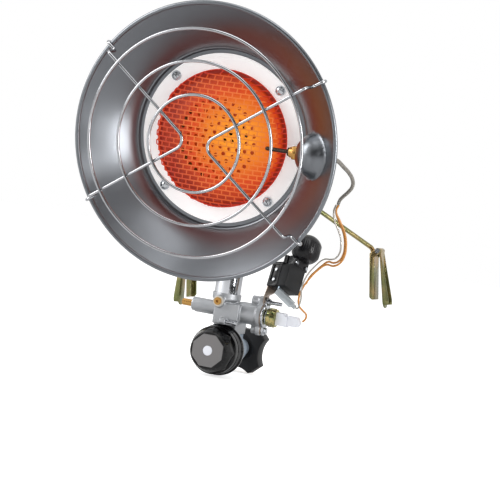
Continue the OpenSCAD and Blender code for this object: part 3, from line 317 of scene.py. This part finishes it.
# The inner face runs down the wall, bends at its foot and ends at the seat's hole. The
# outer face comes back a sheet's thickness behind it, and the bead closes the profile.
inside = [wall_at(i / wall_steps) for i in range(1, wall_steps + 1)]
inside += [(foot_r + step_in, -bowl_depth + step_back) for step_in, step_back in foot_bend]
inside.append((seat_hole_r, seat_z))
outside = [(r + wall_out, z - wall_back) if z > seat_z else (r, z - seat_t)
           for r, z in reversed(inside)]
bead = [(dish_r - bead_r + bead_r * math.cos(math.radians(a)),
         bead_r * math.sin(math.radians(a))) for a in range(-100, 181, 14)]
dish = spun("reflector_dish_spun", inside + outside + bead, 360)

# The boss is pressed out of the wall, so points inside a ball move out to its surface. Its
# inner side is flat, for the thermocouple's nut, and a fillet joins it to the wall.
ball_at = Vector((105.07, 0, -28))
ball_r = 22
ball_reach = ball_r + 10
flat_x = ball_at.x - 19
near_x = 60
press_way = Vector((-0.75, 0, 0.661)).normalized()
fillet = 7.0
for vertex in dish.data.vertices:
    p = vertex.co / mm
    from_ball = p - ball_at
    if p.x < near_x or from_ball.length > ball_reach:
        continue
    along = -from_ball.dot(press_way)
    reach = along * along - from_ball.length_squared + ball_r * ball_r
    if reach <= 0:
        continue
    rise = along + math.sqrt(reach)
    rise = min(rise, (p.x - flat_x) / -press_way.x)
    near = max(fillet - abs(rise), 0) / fillet
    rise = max(rise, 0) + near * near * fillet / 4
    vertex.co = (p + press_way * rise) * mm
put(dish, dish_place)

# Spun sheet shows fine rings about 1 mm apart from the tool, and slow waves of about 70 mm
spun_sheet, tree, shader = new_finish("spun_bright_aluminium", "#73767A", 0.32, 1.0)
rings = add_node(tree, "ShaderNodeTexNoise", {"Scale": 900.0, "Detail": 4.0},
                 {"W": radius_about(tree, dish_place)}, noise_dimensions="1D")
ring_bump = add_node(tree, "ShaderNodeBump", {"Strength": 0.12, "Distance": 0.05 * mm},
                     {"Height": rings.outputs["Fac"]})
waves = add_node(tree, "ShaderNodeTexNoise", {"Scale": 14.0, "Detail": 1.0},
                 {"Vector": object_place(tree)})
wave_bump = add_node(tree, "ShaderNodeBump", {"Strength": 0.35, "Distance": 1.2 * mm},
                     {"Height": waves.outputs["Fac"], "Normal": ring_bump.outputs[0]})
tree.links.new(wave_bump.outputs[0], shader.inputs["Normal"])
vary_gloss(tree, shader, waves, 0.28, 0.36)
join_in(dish, "heater", "dish_metal", spun_sheet, "reflector_dish")


# Burner plate and its screws
# A ring pressed from bright aluminium sheet, which lies round the screen and is held by four
# slotted zinc screws with washers.
def dress(finish, *nodes):
    """CAD nodes get a finish in each of their slots."""
    for node in nodes:
        for place in cad[node].material_slots:
            place.material = finish


# Bright sheet so close to the glow looks white, so it has a weak painted glow, which stands in for
# the burner's light falling on it
plate_with_painted_glow, tree, shader = new_finish("aluminium_plate_painted_glow", "#FFFFFF", 0.35, 0.1)
shader.inputs["Emission Color"].default_value = white
shader.inputs["Emission Strength"].default_value = 0.12
grain(tree, shader, 2, 0.01, 0.3, 0.45, 0.5)
dress(plate_with_painted_glow, "burner_plate")

# Zinc plate is a pale, slightly uneven silver. All the heater's small fasteners have it.
bright_zinc, tree, shader = new_finish("bright_zinc_plate", "#B9BCC0", 0.25, 1.0)
grain(tree, shader, 1.5, 0.02, 0.18, 0.34)
dress(bright_zinc, "plate_screws", "adjusting_stem", "switch_rivets", "support_screw",
      "right_jaw_pin", "left_jaw_pin", "vent_screw")

# Burner screen
# A cup of heat-proof wire cloth in a brick weave, glowing from deep red at its foot to
# orange at its front. It stands on the burner plate over the radiant.
cup_foot = 66.5
cup_low = -49.9
cup_rise = 20.6
cup_square = 8
cup_round = 0.42
cell_w = 8.4
cell_h = 4.7
wire_r = 0.62
foot_steps = 120


def cup_point(x, y):
    """A point of the cup's skin over x and y."""
    share = min(1, math.hypot(x, y) / cup_foot)
    return x, y, cup_low + cup_rise * (1 - share ** cup_square) ** cup_round


def wire_cloth(name, lines, radius):
    """A mesh of round wires along lists of points in millimetres."""
    data = bpy.data.curves.new(name, "CURVE")
    data.dimensions = "3D"
    data.bevel_depth = radius * mm
    data.bevel_resolution = 1
    data.use_fill_caps = True
    for line in lines:
        spline = data.splines.new("POLY")
        spline.points.add(len(line) - 1)
        for point, place in zip(spline.points, line):
            point.co = (place[0] * mm, place[1] * mm, place[2] * mm, 1)
    made = bpy.data.objects.new(name, data)
    scene.collection.objects.link(made)
    choose(made)
    bpy.ops.object.convert(target="MESH")
    bpy.ops.object.shade_smooth()
    return bpy.context.object


# Long wires run across, and short ones join each to the next, half a cell on in each row
lines = []
rows = int(cup_foot / cell_h)
for row in range(-rows, rows + 1):
    y = row * cell_h
    reach = math.sqrt(cup_foot ** 2 - y * y)
    steps = max(4, int(2 * reach / (cell_w / 2)))
    lines.append([cup_point(-reach + 2 * reach * i / steps, y) for i in range(steps + 1)])
    columns = int(reach / cell_w) + 1
    for column in range(-columns, columns + 1):
        x = (column + 0.5 * (row % 2)) * cell_w
        if math.hypot(x, y) < cup_foot and math.hypot(x, y + cell_h) < cup_foot:
            lines.append([cup_point(x, y + cell_h * share) for share in (0, 0.5, 1)])
angles = [math.tau * i / foot_steps for i in range(foot_steps + 1)]
lines.append([(cup_foot * math.cos(a), cup_foot * math.sin(a), cup_low + 1) for a in angles])
screen = wire_cloth("burner_screen_weave", lines, wire_r)
put(screen, dish_place)

flank_from = 57
flank_w = 6
hot_place = dish_place @ Matrix.Translation((18 * mm, 5 * mm, 0))


def heat_glow(name, base, inner, middle, outer, strength):
    """Hot steel that glows from its inner to its outer colour, in blotches of about 17 mm,
    with a darker flank."""
    made, tree, shader = new_finish(name, base, 0.6)
    span = add_node(
        tree, "ShaderNodeMapRange",
        {"From Min": 0.0, "From Max": cup_foot * mm, "To Min": 0.0, "To Max": 0.8},
        {"Value": radius_about(tree, hot_place)})
    mottle = add_node(tree, "ShaderNodeTexNoise", {"Scale": 60.0, "Detail": 3.0},
                      {"Vector": object_place(tree)})
    shift = add_node(tree, "ShaderNodeMath", {1: 0.25}, {0: mottle.outputs["Fac"]},
                     operation="MULTIPLY")
    spread = add_node(tree, "ShaderNodeMath", operation="ADD", links={
        0: span.outputs[0], 1: shift.outputs[0]})
    flank = add_node(
        tree, "ShaderNodeMapRange",
        {"From Min": flank_from * mm, "From Max": (flank_from + flank_w) * mm,
         "To Min": 0.0, "To Max": 1.0},
        {"Value": radius_about(tree, dish_place)})
    where = add_node(tree, "ShaderNodeMath", operation="MAXIMUM", links={
        0: spread.outputs[0], 1: flank.outputs[0]})
    tint = add_node(tree, "ShaderNodeValToRGB", links={"Fac": where.outputs[0]})
    stops = tint.color_ramp.elements
    stops[0].position = 0.3
    stops[0].color = colour(inner)
    stops[1].position = 0.98
    stops[1].color = colour(outer)
    stops.new(0.66).color = colour(middle)
    tree.links.new(tint.outputs["Color"], shader.inputs["Emission Color"])
    shader.inputs["Emission Strength"].default_value = strength
    bump = add_node(tree, "ShaderNodeBump", {"Strength": 0.6, "Distance": 0.1 * mm},
                    {"Height": mottle.outputs["Fac"]})
    tree.links.new(bump.outputs[0], shader.inputs["Normal"])
    return made


# Glowing wire is lighter than the dark red cells at the sides, and duller than the yellow
# ones in the middle
hot_wire = heat_glow("glowing_wire_cloth", "#30100A", "#E8841C", "#F0742C", "#C02A10", 0.9)
join_in(screen, "heater", "screen_glow", hot_wire, "burner_screen")

# Radiant behind the screen
# A cup pressed from perforated steel, with its lip between the dish's seat and the pan's rim.
# It is the hottest part, and shines yellow through the screen.
hot_plate = heat_glow("glowing_perforated_steel", "#40150A", "#FF9C20", "#D4440F", "#7A1608", 0.95)
dress(hot_plate, "burner_radiant")

# Burner pan
# A drawn steel drum behind the dish that leads the gas from the tube to the radiant. It is a
# satin grey outside, and its floor inside the radiant's rim has a painted dull red glow, which
# stands in for the radiant's red light falling on it through the holes.
neck_and_floor = 14.4
painted_glow_r = 50
pan_steel, tree, shader = new_finish("drawn_steel_pan", "#6A6A6A", 0.4, 1.0)
grain(tree, shader, 6, 0.03, 0.32, 0.5, 0.5)
to_dish = dish_place.inverted()
neck_end = min((to_dish @ v.co).z for v in cad["burner_pan"].data.vertices)
depth = add_node(tree, "ShaderNodeSeparateXYZ", links={0: object_place(tree, dish_place)})
above = add_node(tree, "ShaderNodeMath", {1: neck_end + neck_and_floor * mm},
                 {0: depth.outputs["Z"]}, operation="GREATER_THAN")
within = add_node(tree, "ShaderNodeMath", {1: painted_glow_r * mm},
                  {0: radius_about(tree, dish_place)}, operation="LESS_THAN")
inner_floor = add_node(tree, "ShaderNodeMath", operation="MULTIPLY", links={
    0: above.outputs[0], 1: within.outputs[0]})
# The floor inside the radiant's rim gets a painted dull red glow, standing in for the radiant's
# red light falling on it
painted_floor_glow = add_node(tree, "ShaderNodeMath", {1: 0.6}, {0: inner_floor.outputs[0]},
                    operation="MULTIPLY")
shader.inputs["Emission Color"].default_value = colour("#B8380E")
tree.links.new(painted_floor_glow.outputs[0], shader.inputs["Emission Strength"])
dress(pan_steel, "burner_pan")

# Wire guard
# Three rings of bright wire on two bent V-shaped spokes that hook round the dish's rim.
# Nickel gives the wire sharp white lines between dark edges.
guard_wire, tree, shader = new_finish("nickel_plated_wire", "#A4A5A8", 0.12, 1.0)
grain(tree, shader, 3, 0.02, 0.08, 0.2, 0.5)
dress(guard_wire, "guard_outer_ring", "guard_middle_ring", "guard_inner_ring",
      "guard_left_spoke", "guard_right_spoke")


# Thermocouple
# A steel tip on a threaded shank, which goes through the boss and is held by a turned brass
# nut. The heat has stained the steel a dark brown.
def threaded(name, base, pitch_mm, rough):
    """Metal with the grooves of a thread along X, twice the real pitch so that they show.
    Its gloss varies over about 1.7 mm."""
    made, tree, shader = new_finish(name, base, rough, 1.0)
    waves_a_metre = 1000 / (2 * pitch_mm)
    groove = add_node(
        tree, "ShaderNodeTexWave",
        {"Scale": waves_a_metre * math.tau / 20, "Distortion": 0.0},
        {"Vector": object_place(tree)}, bands_direction="X")
    bump = add_node(tree, "ShaderNodeBump", {"Strength": 1.0, "Distance": 0.35 * mm},
                    {"Height": groove.outputs["Fac"]})
    tree.links.new(bump.outputs[0], shader.inputs["Normal"])
    noise = add_node(tree, "ShaderNodeTexNoise", {"Scale": 600.0},
                     {"Vector": object_place(tree)})
    ramp = add_node(tree, "ShaderNodeMapRange", {"To Min": rough * 0.7, "To Max": rough * 1.4},
                    {"Value": noise.outputs["Fac"]})
    tree.links.new(ramp.outputs[0], shader.inputs["Roughness"])
    return made


dress(threaded("heat_stained_steel", "#4A3F38", 0.8, 0.4), "thermocouple")

# Turned brass is a soft yellow with a satin gloss. All the brass parts have it.
turned_brass, tree, shader = new_finish("turned_brass", "#BC9052", 0.25, 1.0)
grain(tree, shader, 1.2, 0.02, 0.2, 0.36, 0.5)
dress(turned_brass, "gas_jet", "push_stem", "test_plug", "outlet_nut", "gas_tailpiece")


def copied(name, node):
    """A merged copy of a CAD node, ready for edges and a finish of its own."""
    made = bpy.data.objects.new(name, cad[node].data.copy())
    scene.collection.objects.link(made)
    made.matrix_world = cad[node].matrix_world
    choose(made)
    bpy.ops.object.mode_set(mode="EDIT")
    bpy.ops.mesh.select_all(action="SELECT")
    bpy.ops.mesh.remove_doubles(threshold=weld)
    bpy.ops.object.mode_set(mode="OBJECT")
    return made


def eased(name, width_mm, node, merge_flats=True):
    """A copy of a CAD node whose sharp edges are broken by a small round."""
    made = copied(name, node)
    if merge_flats:
        bpy.ops.object.mode_set(mode="EDIT")
        bpy.ops.mesh.select_all(action="SELECT")
        bpy.ops.mesh.dissolve_limited(angle_limit=math.radians(0.5))
        bpy.ops.object.mode_set(mode="OBJECT")
    sharp = math.radians(32)
    bevel = made.modifiers.new("eased", "BEVEL")
    bevel.width = width_mm * mm
    bevel.segments = 2
    bevel.limit_method = "ANGLE"
    bevel.angle_limit = sharp
    bevel.use_clamp_overlap = True
    bpy.ops.object.modifier_apply(modifier="eased")
    bpy.ops.object.shade_smooth_by_angle(angle=sharp)
    return made


probe_nut = eased("thermocouple_nut_turned", 0.4, "thermocouple_nut")
join_in(probe_nut, "heater", "brass", turned_brass, "thermocouple_nut")


# Leads
# A braided grey sleeve leaves the thermocouple and ends in three loose strands: two in
# orange silicone and one tinned wire in clear sleeving. They follow the route in the CAD.
def strand(name, points, radius, ends=1.0):
    """A smooth round lead along points in millimetres, thinner towards its end."""
    data = bpy.data.curves.new(name, "CURVE")
    data.dimensions = "3D"
    data.bevel_depth = radius * mm
    data.bevel_resolution = 3
    data.resolution_u = 6
    data.use_fill_caps = True
    spline = data.splines.new("BEZIER")
    spline.bezier_points.add(len(points) - 1)
    for i, (point, place) in enumerate(zip(spline.bezier_points, points)):
        point.co = [v * mm for v in place]
        point.handle_left_type = "AUTO"
        point.handle_right_type = "AUTO"
        point.radius = 1 + (ends - 1) * i / (len(points) - 1)
    made = bpy.data.objects.new(name, data)
    scene.collection.objects.link(made)
    choose(made)
    bpy.ops.object.convert(target="MESH")
    bpy.ops.object.shade_smooth()
    return bpy.context.object


sheath = strand("thermocouple_sleeve", [
    (101, -190, 207), (104, -190, 207), (110, -184, 207), (115, -176, 207), (119, -170, 206),
    (124, -162, 201), (128, -154, 196), (130, -146, 190), (129, -140, 184),
    (124, -134, 178), (118, -128, 173), (114, -124, 169), (112, -121, 165)], 2.2, 0.75)

# The braid's cells are 0.9 mm wide, with a painted highlight on their raised crowns and painted
# shade in the hollows between
braid, tree, shader = new_finish("braided_glass_sleeve", "#7B7670", 0.75)
cells = add_node(tree, "ShaderNodeTexVoronoi", {"Scale": 1000 / 0.9},
                 {"Vector": object_place(tree)})
bump = add_node(tree, "ShaderNodeBump", {"Strength": 1.0, "Distance": 0.25 * mm},
                {"Height": cells.outputs["Distance"]})
tree.links.new(bump.outputs[0], shader.inputs["Normal"])
# The colour follows the bump's height: painted highlight on the crowns, painted shade in the
# hollows
tint = add_node(tree, "ShaderNodeValToRGB", links={"Fac": cells.outputs["Distance"]})
tint.color_ramp.elements[0].color = colour("#57524C")
tint.color_ramp.elements[1].color = colour("#A19C94")
tree.links.new(tint.outputs["Color"], shader.inputs["Base Color"])
join_in(sheath, "heater", "grey_sheath", braid, "thermocouple_lead")

# Silicone rubber has a soft gloss. The two orange wires are the same
orange_rubber, tree, shader = new_finish("orange_silicone", "#C9873B", 0.4)
grain(tree, shader, 0.8, 0.03, 0.34, 0.5)
terminal_wire = strand("terminal_wire_silicone", [
    (112, -120, 164), (110, -118, 158), (113, -115, 149), (118, -112, 140),
    (121, -111, 132), (122, -110, 125), (121, -107, 117), (117, -104, 110),
    (111, -101, 107), (104, -97, 107), (97, -92, 102), (89, -85, 95),
    (81, -75, 88), (75, -65, 80)], 1)
join_in(terminal_wire, "heater", "orange_wire", orange_rubber, "terminal_wire")
connector_wire = strand("connector_wire_silicone", [
    (113, -122, 164), (111, -121, 158), (115, -117, 149), (120, -114, 140),
    (123, -113, 132), (124, -112, 125), (123, -109, 116), (119, -107, 108),
    (112, -104, 104), (104, -101, 104), (97, -99, 99), (88, -97, 88),
    (81, -94, 76), (78, -91, 67), (79, -88, 58), (83, -86, 54), (86, -84, 51),
    (86, -83, 47), (83, -82, 43)], 1)
join_in(connector_wire, "heater", "orange_wire", orange_rubber, "connector_wire")

# Tinned wire shows grey through its clear sleeving
clear_wire, tree, shader = new_finish("tinned_wire_in_clear_sleeve", "#A9A49C", 0.3, 0.6)
grain(tree, shader, 0.8, 0.05, 0.2, 0.32)
spade_wire = strand("spade_wire_tinned", [
    (110, -121, 164), (108, -119, 157), (110, -117, 148), (115, -114, 138),
    (118, -113, 131), (119, -113, 125), (118, -110, 118), (114, -108, 112),
    (109, -106, 110), (102, -105, 109), (94, -105, 101), (86, -103, 89),
    (82, -99, 76), (82, -96, 66), (81, -95, 60), (79, -93, 56), (77, -92, 56)], 0.8)
join_in(spade_wire, "heater", "clear_wire", clear_wire, "spade_wire")

# Mixing tube
# A bent steel tube from the valve's socket up to the pan, with air holes just above the
# socket. Chrome plate makes it a mirror.
chrome, tree, shader = new_finish("chrome_plated_tube", "#C9CBCF", 0.05, 1.0)
grain(tree, shader, 8, 0.01, 0.03, 0.09, 0.3)
dress(chrome, "mixing_tube")


# Gas valve
# A die casting with a satin skin and soft edges: tube socket, push stem guide, magnet
# housing with its flange, and the foot that carries it on the regulator's neck.
def cast(name, node, voxel_mm):
    """A copy of a CAD node with the soft edges and skin of a casting."""
    made = copied(name, node)
    remesh = made.modifiers.new("skin", "REMESH")
    remesh.mode = "VOXEL"
    remesh.voxel_size = voxel_mm * mm
    remesh.use_smooth_shade = True
    soften = made.modifiers.new("soften", "SMOOTH")
    soften.factor = 0.5
    soften.iterations = 6
    bpy.ops.object.modifier_apply(modifier="skin")
    bpy.ops.object.modifier_apply(modifier="soften")
    bpy.ops.object.shade_smooth()
    return made


# A tumbled casting is an even, dull silver with a grain of about 1 mm
valve = cast("valve_casting", "valve_body", 0.55)
light_casting, tree, shader = new_finish("satin_die_casting", "#A3A5A8", 0.42, 0.7)
grain(tree, shader, 0.9, 0.12, 0.36, 0.52, 0.7)
join_in(valve, "heater", "cast_alloy", light_casting, "valve_body")

# The test plug sits in a moulded ring, pale as ivory. The cover plate and its two screws are
# zinc-plated steel, and the screws show their threads
pale_plastic, tree, shader = new_finish("ivory_seal_plastic", "#C6C1B6", 0.4)
grain(tree, shader, 0.8, 0.02, 0.32, 0.46, 0.5)
dress(pale_plastic, "test_plug_ring")
cover = eased("cover_plate_pressed", 0.5, "cover_plate")
join_in(cover, "heater", "zinc", bright_zinc, "cover_plate")
dress(threaded("zinc_plated_screw", "#B9BCC0", 0.7, 0.25), "flange_screws")


# Magnet nut
# A turned nut on the end of the magnet housing. Its zinc has a yellow chromate, which goes
# from green to gold over some millimetres.
def green_to_gold(tree, shader, pattern, *stops):
    """Colours a chromate from the stops of a pattern, each a place and a colour."""
    tint = add_node(tree, "ShaderNodeValToRGB", links={"Fac": pattern.outputs["Fac"]})
    ramp = tint.color_ramp.elements
    ramp[0].position, ramp[0].color = stops[0][0], colour(stops[0][1])
    ramp[1].position, ramp[1].color = stops[-1][0], colour(stops[-1][1])
    for place, code in stops[1:-1]:
        ramp.new(place).color = colour(code)
    tree.links.new(tint.outputs["Color"], shader.inputs["Base Color"])


yellow_zinc, tree, shader = new_finish("yellow_chromate_zinc", "#9C9A62", 0.26, 1.0)
noise = grain(tree, shader, 4, 0.02, 0.2, 0.34, 0.5)
green_to_gold(tree, shader, noise, (0.38, "#7F8A5A"), (0.62, "#C0AE78"))
nut = eased("magnet_nut_turned", 0.5, "magnet_nut")
join_in(nut, "heater", "yellow_zinc", yellow_zinc, "magnet_nut")

# Connector
# Two moulded halves of white nylon, pushed together at the end of the magnet housing. The
# nylon has a soft gloss.
white_nylon, tree, shader = new_finish("white_nylon", "#DFE1E8", 0.4)
grain(tree, shader, 0.8, 0.02, 0.34, 0.48, 0.5)
for half in ("connector_socket", "connector_plug"):
    piece = eased(half + "_moulded", 0.5, half)
    join_in(piece, "heater", "white_plastic", white_nylon, half)

# Regulator
# A grey die casting with a round body, a stepped inlet boss and a neck up to the valve. Its
# skin is blasted, a little bluer and rougher than the valve's.
regulator = cast("regulator_casting", "regulator_body", 0.6)
blasted_casting, tree, shader = new_finish("grey_die_casting", "#8894A0", 0.5, 0.6)
grain(tree, shader, 0.8, 0.12, 0.42, 0.6, 0.8)
join_in(regulator, "heater", "grey_casting", blasted_casting, "regulator_body")

# Knob
# A glossy black moulded knob with eight cheeks, a skirt with finger notches, a grey face
# plate and a white button in the middle. It turns on the adjusting stem. The face plate is
# duller than the knob, with a fine grain.
knob = eased("regulator_knob_moulded", 0.3, "regulator_knob", merge_flats=False)
gloss_black, tree, shader = new_finish("gloss_black_plastic", "#070708", 0.12,
                                       Specular_IOR_Level=0.3)
grain(tree, shader, 6, 0.02, 0.08, 0.18, 0.3)
join_in(knob, "knob", "gloss_black", gloss_black, "regulator_knob")
face_grey, tree, shader = new_finish("grey_label_plastic", "#6F6D6D", 0.45)
grain(tree, shader, 0.5, 0.02, 0.38, 0.52, 0.5)
dress(face_grey, "knob_face")
button_y = -113.5
button_profile = [(0, 0.5), (4.2, 0.45), (4.9, 0.2), (5.0, -0.3), (0, -0.3)]
button = spun("knob_button", button_profile, 48, closed=False)
put(button, Matrix.Translation((0, button_y * mm, 0)) @ Matrix.Rotation(math.radians(90), 4, "X"))
join_in(button, "knob", "white_plastic", white_nylon)

# Hand wheel
# A black moulded wheel with four rounded lobes, pressed onto the outlet nut. Its mould was
# grained, which makes the plastic dull.
wheel = eased("hand_wheel_moulded", 1.4, "hand_wheel")
matte_black, tree, shader = new_finish("grained_black_plastic", "#131416", 0.55,
                                       Specular_IOR_Level=0.3)
grain(tree, shader, 0.7, 0.08, 0.46, 0.62, 0.8)
join_in(wheel, "wheel", "matte_black", matte_black, "hand_wheel")

# Tip-over switch
# A black housing with a snap switch at its side and a ball housing on top, on a bent steel
# bracket from the valve's flange. The housings are satin plastic.
satin_black, tree, shader = new_finish("satin_black_plastic", "#0D0C0F", 0.3,
                                       Specular_IOR_Level=0.3)
grain(tree, shader, 0.7, 0.03, 0.24, 0.36)
for name, width, slot, finish, node in (
        ("switch_housing_moulded", 0.5, "switch_black", satin_black, "switch_housing"),
        ("ball_housing_moulded", 0.6, "switch_black", satin_black, "ball_housing"),
        ("snap_switch_moulded", 0.5, "switch_grain", matte_black, "snap_switch")):
    join_in(eased(name, width, node), "heater", slot, finish, node)
dress(satin_black, "nose_seal")

# Tinned terminals are bluish, the bare bracket is a warm grey, and the spade connector's
# vinyl sleeve is clear, so the metal in it shows grey
tinned, tree, shader = new_finish("tinned_steel", "#A9B7C4", 0.25, 1.0)
grain(tree, shader, 1, 0.02, 0.2, 0.32, 0.5)
dress(tinned, "switch_terminals")
bracket_steel, tree, shader = new_finish("pressed_steel_bracket", "#9A8C80", 0.35, 1.0)
grain(tree, shader, 2, 0.03, 0.28, 0.42, 0.5)
dress(bracket_steel, "switch_bracket")
clear_sleeve, tree, shader = new_finish("clear_vinyl_sleeve", "#AEB4B8", 0.18, 0.3)
grain(tree, shader, 1.5, 0.05, 0.1, 0.22)
spade = eased("spade_sleeve", 0.7, "spade_connector")
join_in(spade, "heater", "clear_sleeve", clear_sleeve, "spade_connector")

# Support wire and clips
# A bent wire hangs from a screw on the tube's band clamp, with a clip of two pressed jaws on
# each end. Wire and jaws are zinc with an iridescent chromate, olive to gold over 25 mm.
clamp = eased("support_clamp_band", 0.4, "support_clamp")
join_in(clamp, "heater", "clamp_steel", bright_zinc, "support_clamp")
chromate, tree, shader = new_finish("iridescent_chromate", "#8A855C", 0.22, 1.0)
noise = add_node(tree, "ShaderNodeTexNoise", {"Scale": 1000 / 25, "Detail": 2.0},
                 {"Vector": object_place(tree)})
green_to_gold(tree, shader, noise, (0.36, "#6A7048"), (0.5, "#86825A"), (0.66, "#A88C60"))
ramp = add_node(tree, "ShaderNodeMapRange", {"To Min": 0.16, "To Max": 0.34},
                {"Value": noise.outputs["Fac"]})
tree.links.new(ramp.outputs[0], shader.inputs["Roughness"])
dress(chromate, "support_wire")
for side in ("right", "left"):
    inner = eased(side + "_inner_jaw_pressed", 0.4, side + "_inner_jaw")
    join_in(inner, "support", "chromate", chromate, side + "_inner_jaw")
    outer = eased(side + "_outer_jaw_pressed", 0.4, side + "_outer_jaw")
    join_in(outer, side + "_jaw", "chromate", chromate, side + "_outer_jaw")
